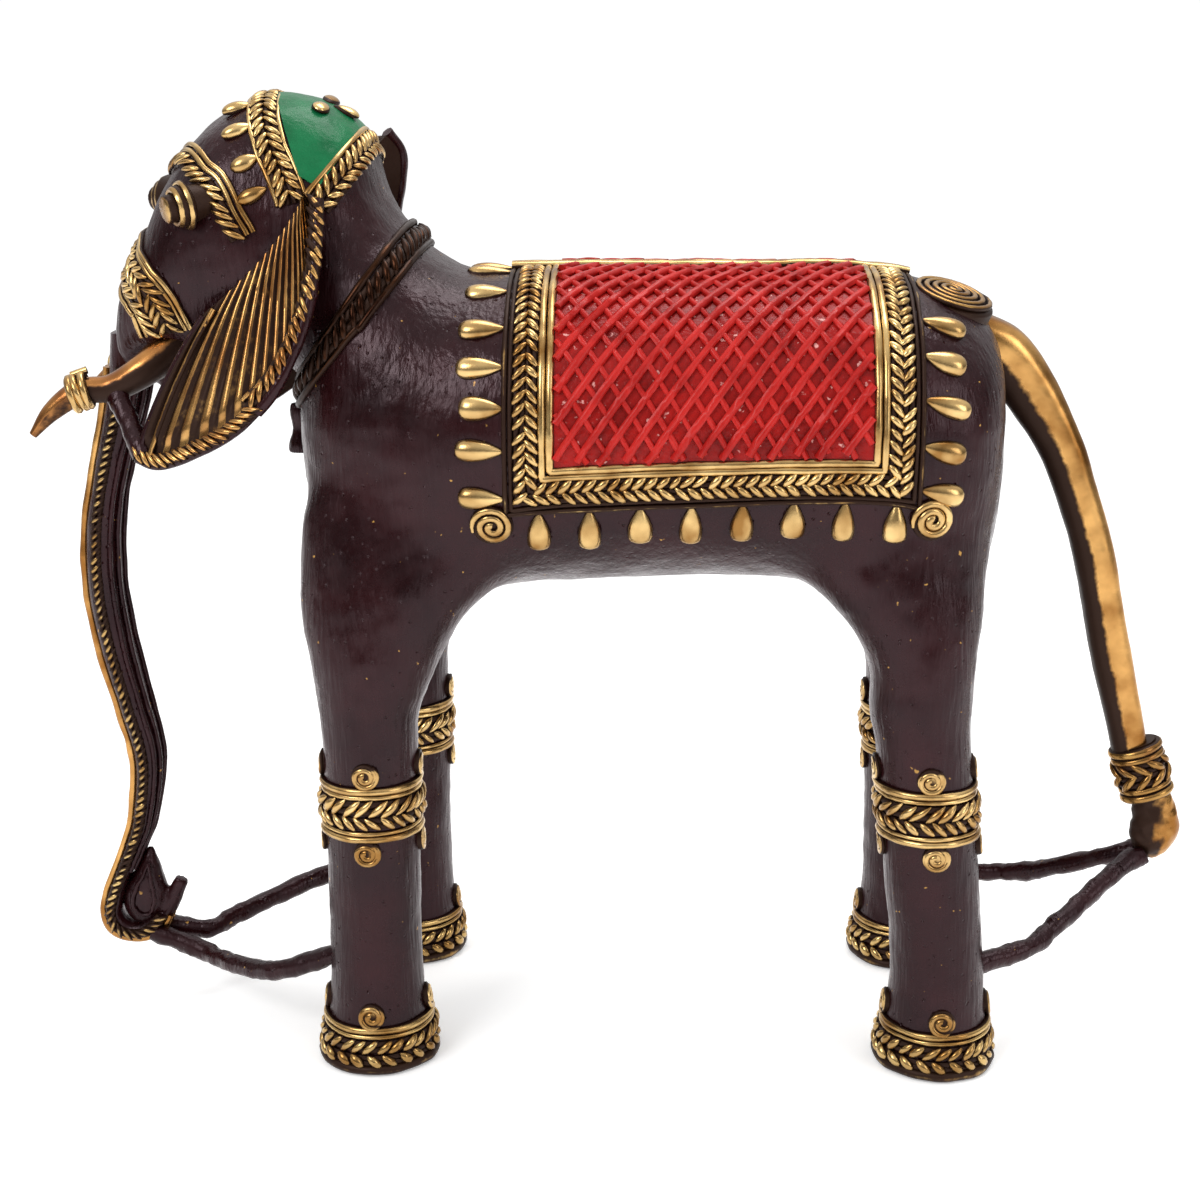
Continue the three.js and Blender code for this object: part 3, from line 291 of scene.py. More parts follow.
# A 1 mm voxel keeps the skin under the size limit of a piece, and it is smoothed as a thumb smooths wax, most
# of all where the legs run into the body
skin_voxel, run_in_low, run_in_high = 1.0, 82, 136
skin = joined("skin", skin_shells)
finish_with(skin, "REMESH", mode="VOXEL", voxel_size=skin_voxel * MM)
finish_with(skin, "SMOOTH", factor=0.5, iterations=9)
run_in = skin.vertex_groups.new(name="run_in")
level = take(skin)[:, 2]
softness = np.clip((level - run_in_low) / 12, 0, 1) * np.clip((run_in_high - level) / 14, 0, 1)
for weight in (0.25, 0.5, 0.75, 1.0):
    inside = np.nonzero((softness > weight - 0.25) & (softness <= weight))[0].tolist()
    run_in.add(inside, weight, "REPLACE")
finish_with(skin, "SMOOTH", factor=0.5, iterations=190, vertex_group="run_in")


def hand_worked(piece, unevenness, depth):
    """Gives a surface of wax the waves or dents that fingers leave."""
    finish_with(piece, "DISPLACE", texture=unevenness, strength=depth * MM, mid_level=0.5,
                texture_coords="LOCAL")


wax_waves = bpy.data.textures.new("wax_waves", "CLOUDS")
wax_waves.noise_scale = 11 * MM
hand_worked(skin, wax_waves, depth=0.7)
wax_dents = bpy.data.textures.new("wax_dents", "CLOUDS")
wax_dents.noise_scale = 3.5 * MM
hand_worked(skin, wax_dents, depth=0.22)
skin_points = take(skin)
skin_points[:, 2] = np.maximum(skin_points[:, 2], 0)
give(skin, skin_points)
smooth(skin, angle=70)


def linear(colour):
    """A colour written as in sRGB hex, as the shader wants it."""
    channels = [int(colour[i:i + 2], 16) / 255 for i in (1, 3, 5)]
    return [c / 12.92 if c <= 0.04045 else ((c + 0.055) / 1.055) ** 2.4 for c in channels] + [1.0]


def add_node(material, kind, links=(), **settings):
    """Adds one node. Settings name its fields or input sockets, and links are (socket, source output)."""
    node = material.node_tree.nodes.new(kind)
    for key, value in settings.items():
        if hasattr(node, key):
            setattr(node, key, value)
        else:
            node.inputs[key.replace("_", " ")].default_value = value
    for socket, source in links:
        material.node_tree.links.new(source, node.inputs[socket])
    return node


def new_material(name):
    """A material with its shader and its links."""
    material = bpy.data.materials.new(name)
    material.use_nodes = True
    return material, material.node_tree.nodes["Principled BSDF"], material.node_tree.links


def every(size):
    """The scale of a pattern that has a mark every so many millimetres."""
    return 1 / (size * MM)


# Liver-brown patina over brass, waxed and handled: nearly black in the shade, maroon where light reaches it,
# with a cool sheen, pits and a few bare specks of metal. Real scratches and pits are about 0.2 mm apart, and
# these are drawn as coarse as they need to show.
cloud_size, speck_size, handled_size, scratch_size, pit_size = 16.67, 1.923, 7.143, 1.111, 2.381
patina, shader, links = new_material("waxed_brown_patina")
place = add_node(patina, "ShaderNodeTexCoord").outputs["Object"]
clouds = add_node(patina, "ShaderNodeTexNoise", [("Vector", place)],
                  Scale=every(cloud_size), Detail=5.0, Roughness=0.6)
tones = add_node(patina, "ShaderNodeValToRGB", [("Fac", clouds.outputs["Fac"])])
tones.color_ramp.elements[0].position, tones.color_ramp.elements[1].position = 0.32, 0.68
tones.color_ramp.elements[0].color = linear("#160405")
tones.color_ramp.elements[1].color = linear("#290d0f")
specks = add_node(patina, "ShaderNodeTexNoise", [("Vector", place)], Scale=every(speck_size), Detail=2.0)
bare_specks = add_node(patina, "ShaderNodeMapRange", [("Value", specks.outputs["Fac"])],
                       From_Min=0.735, From_Max=0.775)
# The colour sockets of a mix node share their names with others, so they are called by number
MIX_UNDER, MIX_OVER, MIX_RESULT = 6, 7, 2
speckled = add_node(patina, "ShaderNodeMix", [("Factor", bare_specks.outputs["Result"])], data_type="RGBA")
speckled.inputs[MIX_OVER].default_value = linear("#b08542")
links.new(tones.outputs["Color"], speckled.inputs[MIX_UNDER])
links.new(speckled.outputs[MIX_RESULT], shader.inputs["Base Color"])
shader.inputs["Metallic"].default_value = 0.08
shader.inputs["Specular Tint"].default_value = linear("#ffe6ee")
shader.inputs["Specular IOR Level"].default_value = 0.3
handled = add_node(patina, "ShaderNodeTexNoise", [("Vector", place)],
                   Scale=every(handled_size), Detail=6.0, Roughness=0.7)
gloss = add_node(patina, "ShaderNodeMapRange", [("Value", handled.outputs["Fac"])],
                 From_Min=0.3, From_Max=0.7, To_Min=0.15, To_Max=0.4)
links.new(gloss.outputs["Result"], shader.inputs["Roughness"])
stretched = add_node(patina, "ShaderNodeMapping", [("Vector", place)], Rotation=(0.5, 0.7, 0.2),
                     Scale=(1.0, 1.0, 0.12))
scratches = add_node(patina, "ShaderNodeTexNoise", [("Vector", stretched.outputs["Vector"])],
                     Scale=every(scratch_size), Detail=4.0)
pores = add_node(patina, "ShaderNodeTexVoronoi", [("Vector", place)], Scale=every(pit_size))
pits = add_node(patina, "ShaderNodeMapRange", [("Value", pores.outputs["Distance"])],
                From_Min=0.0, From_Max=0.16)
relief = add_node(patina, "ShaderNodeMath", [(0, scratches.outputs["Fac"]), (1, pits.outputs["Result"])],
                  operation="ADD")
dents = add_node(patina, "ShaderNodeBump", [("Height", relief.outputs["Value"])], Strength=0.9,
                 Distance=0.3 * MM)
links.new(dents.outputs["Normal"], shader.inputs["Normal"])

skin.data.materials.append(patina)
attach(skin, "root")
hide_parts("torso", "head", *(f"{name}_leg" for name in legs))


# Foot bands. Round each foot lie a thick and a thin wire, a tight rope and a looser one, with four spirals
# over them. All threads are wax wire of about 1.3 mm, and a rope is two of them twisted.

def surface(piece):
    """What threads are pressed onto."""
    polygons = [tuple(face.vertices) for face in piece.data.polygons]
    return BVHTree.FromPolygons([Vector(point) for point in take(piece)], polygons)


skin_surface = surface(skin)


def pressed(points, base):
    """Points pressed onto a surface, with the direction out of it at each."""
    hits = [base.find_nearest(Vector(point)) for point in points]
    return np.array([tuple(hit[0]) for hit in hits]), np.array([tuple(hit[1]) for hit in hits])


def unit(vectors):
    """The same directions at a length of one."""
    return vectors / np.maximum(np.linalg.norm(vectors, axis=-1, keepdims=True), 1e-9)


def evenly(points, step, closed):
    """The same line with its points an even step apart."""
    line = np.vstack([points, points[:1]]) if closed else np.asarray(points)
    along = np.r_[0, np.cumsum(np.linalg.norm(np.diff(line, axis=0), axis=1))]
    marks = np.linspace(0, along[-1], max(4, round(along[-1] / step)) + 1)
    marks = marks[:-1] if closed else marks
    return np.stack([np.interp(marks, along, line[:, axis]) for axis in range(3)], 1)


def neighbours(values, closed):
    """The value before and the value after each point of a line."""
    if closed:
        return np.roll(values, 1, 0), np.roll(values, -1, 0)
    return np.vstack([values[:1], values[:-1]]), np.vstack([values[1:], values[-1:]])


point_step = 0.6          # a thread bends at points this far apart


def laid(guide, base, offset=0.0, closed=False):
    """A line laid on a surface beside a guide: its points, the direction out, and the direction sideways."""
    for shift in (0.0, offset, 0.0) if offset else (0.0,):
        points, out = pressed(evenly(guide, point_step, closed), base)
        for _ in range(4):
            before, after = neighbours(out, closed)
            out = unit(before + 2 * out + after)
        before, after = neighbours(points, closed)
        side = unit(np.cross(out, after - before))
        guide = points + side * shift
    return points, out, side


def waver(count, closed, size, seed):
    """The unevenness of a thread rolled by hand."""
    rough = np.random.default_rng(seed).normal(0, 1, count)
    for _ in range(12):
        before, after = neighbours(rough[:, None], closed)
        rough = ((before + 2 * rough[:, None] + after) / 4)[:, 0]
    return size * rough / max(np.abs(rough).max(), 1e-9)


def wire(line, radius, closed=False, height=None, seed=0):
    """One thread, as (points, radii, closed), sunk into the surface by nearly half."""
    points, out, _ = line
    height = radius * 0.55 if height is None else height
    uneven = waver(len(points), closed, radius * 0.16, seed)
    return [(points + out * height, radius + uneven, closed)]


bead_slant, bead_length, bead_girth = 0.72, 1.66, 0.31


def rope(line, radius, bead, hand, closed=False, seed=0):
    """A row of slanting beads, as a flattened twist of two threads shows them, one spindle for each."""
    points, out, side = line
    before, after = neighbours(points, closed)
    ahead = unit(after - before)
    gaps = np.linalg.norm(after - points, axis=1)
    along = np.r_[0, np.cumsum(gaps)[:-1]]
    count = max(3, round((gaps.sum() if closed else along[-1]) / bead))
    uneven = np.random.default_rng(seed)
    strands = []
    for k in range(count):
        place = (k + 0.5) * (along[-1] + gaps[-1] * closed) / count
        i = min(int(np.searchsorted(along, place)), len(points) - 1)
        slant = bead_slant + uneven.normal(0, 0.05)
        heading = ahead[i] * math.cos(slant) + side[i] * hand * math.sin(slant)
        half = radius * (bead_length + uneven.normal(0, 0.07))
        girth = bead * bead_girth * (1 + uneven.normal(0, 0.08))
        share = np.linspace(-1, 1, 7)[:, None]
        rise = out[i] * (radius * 0.62 - radius * 0.3 * share ** 2)
        strands.append((points[i] + rise + heading * half * share,
                        girth * (1 - np.abs(share[:, 0]) ** 2.4 * 0.75), False))
    return strands


def bedding(line, radius, closed=False):
    """The dark ground that shows between the beads of a row."""
    points, out, side = line
    return [(points + out * 0.1 + side * shift, np.full(len(points), radius * 0.5), closed)
            for shift in (-radius * 0.5, radius * 0.5)]


def drawn(name, strands, roundness=2):
    """Threads as one mesh."""
    deselect()
    curve = bpy.data.curves.new(name, "CURVE")
    curve.dimensions = "3D"
    curve.bevel_depth = MM
    curve.bevel_resolution = roundness
    curve.use_fill_caps = True
    for points, radii, closed in strands:
        spline = curve.splines.new("POLY")
        spline.points.add(len(points) - 1)
        spline.points.foreach_set("co", np.c_[points * MM, np.ones(len(points))].ravel())
        spline.points.foreach_set("radius", np.asarray(radii, float))
        spline.use_cyclic_u = bool(closed)
    piece = bpy.data.objects.new(name, curve)
    bpy.context.scene.collection.objects.link(piece)
    pick(piece)
    bpy.ops.object.convert(target="MESH")
    piece = bpy.context.active_object
    smooth(piece, angle=60)
    return piece


def mark(piece, values, name="polish_and_painted_light"):
    """Stores a value from 0 to 1 for each point, such as how bright it is rubbed, or one for them all; on the
    tusks and the far eye it also holds painted light and shade.
    """
    layer = piece.data.attributes.new(name, "FLOAT", "POINT")
    layer.data.foreach_set("value", np.full(len(piece.data.vertices), values, np.float32))


def facings(piece):
    """The direction out of a mesh at each of its points."""
    normals = np.empty(len(piece.data.vertices) * 3, np.float32)
    piece.data.vertices.foreach_get("normal", normals)
    return normals.reshape(-1, 3)


def rub(piece, base, low, high, sides=0.35):
    """Marks where the wheel reaches: 1 on crests that face outwards, 0 below a height and on sides."""
    points = take(piece)
    foot, out = pressed(points, base)
    height = ((points - foot) * out).sum(1)
    facing = (facings(piece) * out).sum(1)
    mark(piece, np.clip((height - low) / (high - low), 0, 1) * np.clip((facing - sides) / 0.45, 0, 1))


def banded(name, wires, rows, base, bead_low=0.7, bead_high=1.05, closed=False):
    """A band of wires and of rope rows (line, radius, bead, hand), each rubbed where it stands out."""
    beads, ground = [], []
    for number, (line, radius, bead, hand) in enumerate(rows):
        beads += rope(line, radius, bead, hand, closed, seed=number + len(name))
        ground += bedding(line, radius, closed)
    pieces = []
    if wires:
        pieces.append(drawn(f"{name}_wires", wires))
        rub(pieces[-1], base, low=0.2, high=0.5)
    if rows:
        pieces.append(drawn(f"{name}_beads", beads))
        rub(pieces[-1], base, bead_low, bead_high, 0.1)
        pieces.append(drawn(f"{name}_ground", ground, roundness=1))
        mark(pieces[-1], 0)
    return joined(name, pieces)


def rubbed_brass(name, bright, deep, coverage=0.5):
    """Brass rubbed bright on its crests, warm yellow with a satin grain, over brown patina in its hollows."""
    material, shader, links = new_material(name)
    place = add_node(material, "ShaderNodeTexCoord").outputs["Object"]
    reach = add_node(material, "ShaderNodeAttribute", attribute_name="polish_and_painted_light")
    # The wheel's grain is drawn coarser than the real 0.1 mm, so that it shows
    grain_size, tone_size = 2.381, 9.09
    grain = add_node(material, "ShaderNodeTexNoise", [("Vector", place)],
                     Scale=every(grain_size), Detail=4.0, Roughness=0.65)
    uneven = add_node(material, "ShaderNodeMath", [(0, grain.outputs["Fac"])], operation="MULTIPLY_ADD")
    uneven.inputs[1].default_value = 0.55
    uneven.inputs[2].default_value = -0.275
    # The mark with grain added. On the tusks and the far eye the mark also holds painted light and shade,
    # which shows here as bright or dark metal
    worn = add_node(material, "ShaderNodeMath", [(0, reach.outputs["Fac"]), (1, uneven.outputs["Value"])],
                    operation="ADD")
    mask = add_node(material, "ShaderNodeMapRange", [("Value", worn.outputs["Value"])],
                    interpolation_type="SMOOTHSTEP", From_Min=coverage - 0.16, From_Max=coverage + 0.14)
    tone = add_node(material, "ShaderNodeTexNoise", [("Vector", place)], Scale=every(tone_size), Detail=3.0)
    metal = add_node(material, "ShaderNodeValToRGB", [("Fac", tone.outputs["Fac"])])
    metal.color_ramp.elements[0].position, metal.color_ramp.elements[1].position = 0.35, 0.7
    metal.color_ramp.elements[0].color = linear(deep)
    metal.color_ramp.elements[1].color = linear(bright)
    base = add_node(material, "ShaderNodeMix", [("Factor", mask.outputs["Result"])], data_type="RGBA")
    base.inputs[MIX_UNDER].default_value = linear("#2c180d")
    links.new(metal.outputs["Color"], base.inputs[MIX_OVER])
    links.new(base.outputs[MIX_RESULT], shader.inputs["Base Color"])
    shader.inputs["Specular IOR Level"].default_value = 0.3
    shine = add_node(material, "ShaderNodeMapRange", [("Value", mask.outputs["Result"])],
                     To_Min=0.5, To_Max=0.27)
    links.new(shine.outputs["Result"], shader.inputs["Roughness"])
    metallic = add_node(material, "ShaderNodeMapRange", [("Value", mask.outputs["Result"])],
                        To_Min=0.5, To_Max=1.0)
    links.new(metallic.outputs["Result"], shader.inputs["Metallic"])
    bumps = add_node(material, "ShaderNodeBump", [("Height", grain.outputs["Fac"])], Strength=0.3,
                     Distance=0.15 * MM)
    links.new(bumps.outputs["Normal"], shader.inputs["Normal"])
    return material


brass = rubbed_brass("rubbed_brass", "#e7c587", "#8f6838")


def set_out(piece, nodes, material):
    """Hands a finished piece over, in its finish and in place of the plain solids that it dresses."""
    piece.data.materials.clear()
    piece.data.materials.append(material)
    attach(piece, "root")
    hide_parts(*nodes)
    return piece


def ring_guide(form, level):
    """A level line round a leg."""
    low, high = 0.0, float(form.last)
    for _ in range(40):
        middle = (low + high) / 2
        low, high = (middle, high) if form.bare(middle, math.pi / 2)[0, 2] < level else (low, middle)
    return form.bare(low, np.linspace(0, 2 * math.pi, 96, endpoint=False))


def coil(centre, out, start, turns, reach, radius, base=skin_surface):
    """A thread wound into a flat spiral from its middle outwards, pressed onto the surface."""
    eye, points_per_turn = 0.45, 20
    share = np.linspace(0, 1, int(turns * points_per_turn))
    swing = 2 * math.pi * turns * share
    first = unit(start - out * (start @ out))
    second = np.cross(out, first)
    away = eye + (reach - radius - eye) * share
    flat = centre + (np.cos(swing)[:, None] * first + np.sin(swing)[:, None] * second) * away[:, None]
    points, normals = pressed(flat, base)
    thickness = radius * (1.12 - 0.12 * share)
    thickness[-4:] *= [0.95, 0.85, 0.7, 0.5]
    return (points + normals * radius * 0.85, thickness, False)


def button(name, spots, radius, height):
    """Low round pads under the spirals, one disc made at each spot."""
    pads = []
    for centre, out, start in spots:
        deselect()
        bpy.ops.mesh.primitive_cylinder_add(vertices=24, radius=radius * MM, depth=height * 2 * MM)
        pad = bpy.context.active_object
        bpy.ops.object.mode_set(mode="EDIT")
        bpy.ops.mesh.select_all(action="SELECT")
        bpy.ops.mesh.bevel(offset=0.3 * MM, segments=2)
        bpy.ops.object.mode_set(mode="OBJECT")
        first = unit(start - out * (start @ out))
        turn = Matrix([first, np.cross(out, first), out]).transposed().to_4x4()
        pad.data.transform(Matrix.Translation(Vector(centre * MM)) @ turn)
        pads.append(pad)
    return joined(name, pads)


def spirals(name, spots, turns, reach, radius, pad_radius, pad_height, low=0.8, high=1.05):
    """Spirals of thread at spots of (centre, out, start), each on a pad of its own."""
    coils = drawn(name, [coil(*spot, turns, reach, radius) for spot in spots])
    coils = joined(name, [coils, button(f"{name}_pads", spots, pad_radius, pad_height)])
    rub(coils, skin_surface, low, high)
    return coils


UP = np.array([0.0, 0.0, 1.0])
spiral_reach, spiral_pad, spiral_pad_height = 3.3, 2.8, 0.75


def leg_spots(form, level):
    """Four places round a leg at one level, with the directions out and up there."""
    ring = ring_guide(form, level)
    points, out = pressed(ring[::24], skin_surface)
    return [(point, unit(normal), UP) for point, normal in zip(points, out)]


def leg_ring(form, level):
    """A closed line laid round a leg at one level."""
    return laid(ring_guide(form, level), skin_surface, closed=True)


# The wheel reached less of these threads, so more of the brown is left between their crests
worn_brass = rubbed_brass("rubbed_brass_worn_dark", "#d9b97c", "#8f6a3a", coverage=0.6)
for number, (name, form) in enumerate(legs.items()):
    wires = []
    for level, radius in [(9.8, 0.75), (8.4, 0.55)]:
        wires += wire(leg_ring(form, level), radius, True, seed=number)
    ropes = [(leg_ring(form, level), radius, bead, hand)
             for level, radius, bead, hand in [(6.3, 1.35, 2.6, 1), (3.3, 1.25, 3.3, -1)]]
    band = banded(f"{name}_foot_threads", wires, ropes, skin_surface, closed=True)
    set_out(band, [f"{name}_foot_band"], worn_brass)
    sole = drawn(f"{name}_foot_sole_wire", wire(leg_ring(form, 1.4), 1.1, True, seed=number + 20))
    rub(sole, skin_surface, low=0.9, high=2.4)
    set_out(sole, [f"{name}_foot_band"], worn_brass)
    coils = spirals(f"{name}_foot_spirals", leg_spots(form, 12.9), turns=1.6, reach=spiral_reach, radius=0.68,
                    pad_radius=spiral_pad, pad_height=spiral_pad_height)
    set_out(coils, [f"{name}_foot_band"], brass)


# Anklets. Wax threads wound round each leg. From the top: a thick and a thinner wire, a rope of large beads,
# a rope of smaller ones twisted the other way, and two wires, with four spirals above and four below.

for name, form in legs.items():
    wires = []
    for level, radius in [(62.9, 0.8), (61.5, 0.6), (53.7, 0.55), (52.5, 0.75)]:
        wires += wire(leg_ring(form, level), radius, True, seed=int(level))
    ropes = [(leg_ring(form, level), radius, bead, hand)
             for level, radius, bead, hand in [(59.2, 1.6, 2.6, 1), (56.0, 1.3, 2.5, -1)]]
    band = banded(f"{name}_anklet_threads", wires, ropes, skin_surface, closed=True)
    set_out(band, [f"{name}_anklet"], brass)
    spots = leg_spots(form, 66.1) + leg_spots(form, 49.4)
    coils = spirals(f"{name}_anklet_spirals", spots, turns=1.9, reach=spiral_reach, radius=0.62,
                    pad_radius=spiral_pad, pad_height=spiral_pad_height)
    set_out(coils, [f"{name}_anklet"], brass)


# Collar and pendant. The collar is a rope between wires that stayed dark, because the wheel could not reach
# it, and a small tassel hangs from it on the chest.

dark_threads = rubbed_brass("dull_brass_under_patina", "#42291a", "#26140d", coverage=0.9)


def belt_guide(form, station, offset=0.0):
    """A line round a form at one station, slid along it by an offset."""
    angle = np.linspace(0, 2 * math.pi, 120, endpoint=False)
    along, around, out = form.slopes(station, angle)
    side = unit(np.cross(out, around))
    side *= np.sign((side * along).sum(1, keepdims=True))
    return form.bare(*form.slide(np.full(len(angle), float(station)), angle, side * offset))


wires = []
for offset, radius in [(-1.0, 0.8), (-6.4, 0.75)]:
    guide = belt_guide(torso_form, torso_form.last, offset)
    wires += wire(laid(guide, skin_surface, closed=True), radius, True, seed=int(-offset))
row = laid(belt_guide(torso_form, torso_form.last, -3.7), skin_surface, closed=True)
collar = banded("collar_threads", wires, [(row, 1.7, 2.7, 1)], skin_surface, closed=True)
set_out(collar, ["collar"], dark_threads)

deselect()
low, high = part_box("chest_pendant")
tassel_radius, tassel_inset = 2.5, 2.8
bpy.ops.mesh.primitive_cylinder_add(vertices=24, radius=tassel_radius * MM, depth=high.z - low.z,
                                    location=(low.x + tassel_inset * MM, 0, (low.z + high.z) / 2))
tassel = made("chest_tassel")
bpy.ops.object.transform_apply(location=True, rotation=True, scale=True)
finish_with(tassel, "SUBSURF", subdivision_type="SIMPLE", levels=3, render_levels=3)
points = take(tassel)
drop_share = (high.z / MM - points[:, 2]) / ((high.z - low.z) / MM)
waist = 0.72 + 0.16 * np.sin(drop_share * 9) + 0.22 * (drop_share > 0.72)
middle = np.array([low.x / MM + tassel_inset, 0.0])
points[:, :2] = middle + (points[:, :2] - middle) * waist[:, None]
give(tassel, points)
finish_with(tassel, "SMOOTH", factor=0.5, iterations=6)
smooth(tassel, angle=60)
set_out(tassel, ["chest_pendant"], patina)


# Ears. Each is a fan of threads laid side by side on a thin leaf of wax, from the root out to a thick dark
# rim, with a wire and a rope inside the rear edge and a lumpy rope round the bottom.

ear_root = np.array([-poll - 13.8 + centre_x, head_half + 0.9, crown - 18])
ear_lower = [(-3.4, 11.1, -35.1), (-9.4, 11.1, -43), (-17.7, 9.6, -49), (-29.1, 4.6, -53.6),
             (-35.4, 2.1, -52.6)]
ear_upper = {
    NEAR: [(3, 0.6, -1.4), (3, 3.6, -8.9), (2.4, 7.6, -18.1), (0.7, 9.6, -25.6)],
    FAR: [(10.3, 4.6, 10.6), (12.8, 7, 6.5), (12.8, 7.8, 1), (11.4, 8.4, -6), (8.6, 9.4, -16),
          (3, 10.6, -26)],
}


def through(points, share):
    """A smooth line through points, by shares of the whole from 0 to 1."""
    return flowing(np.array(points, float), np.clip(np.atleast_1d(share), 0, 1) * (len(points) - 1))


def ear_leaf(side, share, t):
    """The middle of an ear: share runs from the root to the rim, t from behind round to the forward tip."""
    share, t = np.broadcast_arrays(np.atleast_1d(share).astype(float), t)
    rim = through(ear_upper[side] + ear_lower, t)
    forward_tip, bow = np.array(ear_lower[-1]), np.array([-4.6, 0, 0])
    origin = forward_tip * (0.4 * np.clip((t - 0.3) / 0.7, 0, 1) ** 1.3)[:, None]
    leaf = origin + (rim - origin) * share[:, None]
    length = np.linalg.norm(leaf, axis=1) / np.linalg.norm(forward_tip)
    leaf = leaf + bow * (4 * length * np.clip(1 - length, 0, 1) * t ** 4)[:, None]
    return (leaf + ear_root) * [1, side, 1]


def ear_out(side, share, t):
    """The direction out of an ear, away from the head."""
    step = 0.01
    across = ear_leaf(side, share, np.minimum(t + step, 1)) - ear_leaf(side, share, np.maximum(t - step, 0))
    ahead = ear_leaf(side, share + step, t) - ear_leaf(side, share - step, t)
    out = unit(np.cross(ahead, across))
    return out * np.where(out[:, 1:2] * side < 0, -1, 1)


def read(piece, name):
    """The values that a piece stores for its points."""
    values = np.empty(len(piece.data.vertices), np.float32)
    piece.data.attributes[name].data.foreach_get("value", values)
    return values


rib_count, rib_height, leaf_half, leaf_thickness = 20, 0.85, 0.35, 1.3
ribs_end, fold_at, front_edge = 0.89, 0.93, 0.992
fold_steps = 90


def edge_line(side, share, t_from, t_to):
    """A line along the rim of an ear, at one share of the way out to it."""
    t = t_from + (t_to - t_from) * np.linspace(0, 1, 160)
    guide = evenly(ear_leaf(side, share, t), point_step, False)
    normals = ear_out(side, share, np.linspace(t_from, t_to, len(guide)))
    before, after = neighbours(guide, False)
    return guide + normals * 0.4, normals, unit(np.cross(normals, after - before))


for side_name, side in SIDES:
    deselect()
    bpy.ops.mesh.primitive_grid_add(x_subdivisions=44, y_subdivisions=rib_count * 8, size=2)
    leaf = made(f"{side_name}_ear_leaf")
    flat = take(leaf) * MM
    share, t = 0.07 + 0.93 * (flat[:, 0] + 1) / 2, (flat[:, 1] + 1) / 2
    rib = np.abs(np.sin(t * rib_count * math.pi)) ** 1.6
    rise = rib * rib_height * np.clip((ribs_end - share) / 0.05, 0, 1) * np.clip(share / 0.25, 0, 1)
    give(leaf, ear_leaf(side, share, t) + ear_out(side, share, t) * (leaf_half + rise)[:, None])
    mark(leaf, t, "angular")
    mark(leaf, rib, "rib")
    pick(leaf)
    bpy.ops.object.mode_set(mode="EDIT")
    bpy.ops.mesh.select_all(action="SELECT")
    bpy.ops.mesh.normals_make_consistent(inside=False)
    bpy.ops.object.mode_set(mode="OBJECT")
    out_y = np.mean([polygon.normal.y for polygon in leaf.data.polygons])
    if out_y * side < 0:
        leaf.data.flip_normals()
    finish_with(leaf, "SOLIDIFY", thickness=leaf_thickness * MM, offset=-1.0)
    points = take(leaf)
    points[len(share):] = ear_leaf(side, share, t) - ear_out(side, share, t) * 0.9      # the back is smooth
    give(leaf, points)
    smooth(leaf, angle=50)

    wires = wire(edge_line(side, 0.85, 0.0, 0.66), 0.55, seed=22)
    fold, front = np.linspace(0.12, 0.94, fold_steps), np.linspace(0.1, 1.0, fold_steps)
    fold_line = ear_leaf(side, fold, fold_at) + ear_out(side, fold, fold_at) * 0.9
    wires += [(fold_line, np.full(fold_steps, 0.6), False)]
    ropes = [(edge_line(side, 0.915, 0.0, 0.62), 1.5, 2.2, -side),
             (edge_line(side, 0.965, 0.6, 1.0), 1.5, 1.8, side)]
    ear_threads = banded(f"{side_name}_ear_threads", wires, ropes, surface(leaf), bead_low=0.6, bead_high=1.0)
    rim = wire(edge_line(side, 1.0, 0.0, 0.6), 1.3, height=-0.3, seed=24)
    rim += wire(edge_line(side, 1.0, 0.6, 1.0), 0.7, height=-0.3, seed=25)
    front_line = ear_leaf(side, front, front_edge) + ear_out(side, front, front_edge) * 0.3
    rim += [(front_line, np.full(fold_steps, 0.7), False)]
    ear_rim = drawn(f"{side_name}_ear_rim", rim)
    crest, angular = read(leaf, "rib"), read(leaf, "angular")
    outward = np.clip(facings(leaf)[:, 1] * side * 2, 0, 1)
    flap = np.clip((fold_at - angular) / 0.03, 0, 1)
    mark(leaf, np.clip(0.34 + (crest - 0.74) / 0.26, 0.34, 1) * outward * flap)
    # A shade deeper and redder than the brass of the bands
    ear_brass = rubbed_brass(f"{side_name}_ear_rubbed_brass", "#cfa263", "#8a5d33", coverage=0.5)
    set_out(leaf, [f"{side_name}_ear"], ear_brass)
    set_out(ear_threads, [f"{side_name}_ear"], ear_brass)
    set_out(ear_rim, [f"{side_name}_ear"], patina)


# Eyes. Each is a stepped cone of three wax rings with a flat disc on top, its steps bright and its grooves
# dark.

def turned(name, profile, vertices, place, gaze):
    """A turned piece: a disc extruded through the radii and heights of a profile, aimed along a gaze."""
    deselect()
    bpy.ops.mesh.primitive_circle_add(vertices=vertices, radius=profile[0][0] * MM, fill_type="NGON")
    piece = made(name)
    bpy.ops.object.mode_set(mode="EDIT")
    bpy.ops.mesh.select_all(action="SELECT")
    for (radius, height), (wider, higher) in zip(profile, profile[1:]):
        bpy.ops.mesh.extrude_region_move(TRANSFORM_OT_translate={"value": (0, 0, (higher - height) * MM)})
        grow = wider / radius
        bpy.ops.transform.resize(value=(grow, grow, 1))
    bpy.ops.mesh.select_all(action="SELECT")
    bpy.ops.mesh.normals_make_consistent(inside=False)
    bpy.ops.object.mode_set(mode="OBJECT")
    turn = Vector(gaze).to_track_quat("Z", "Y").to_matrix().to_4x4()
    sunk = Matrix.Translation((0, 0, profile[0][1] * MM))
    piece.data.transform(Matrix.Translation(Vector(place) * MM) @ turn @ sunk)
    return piece


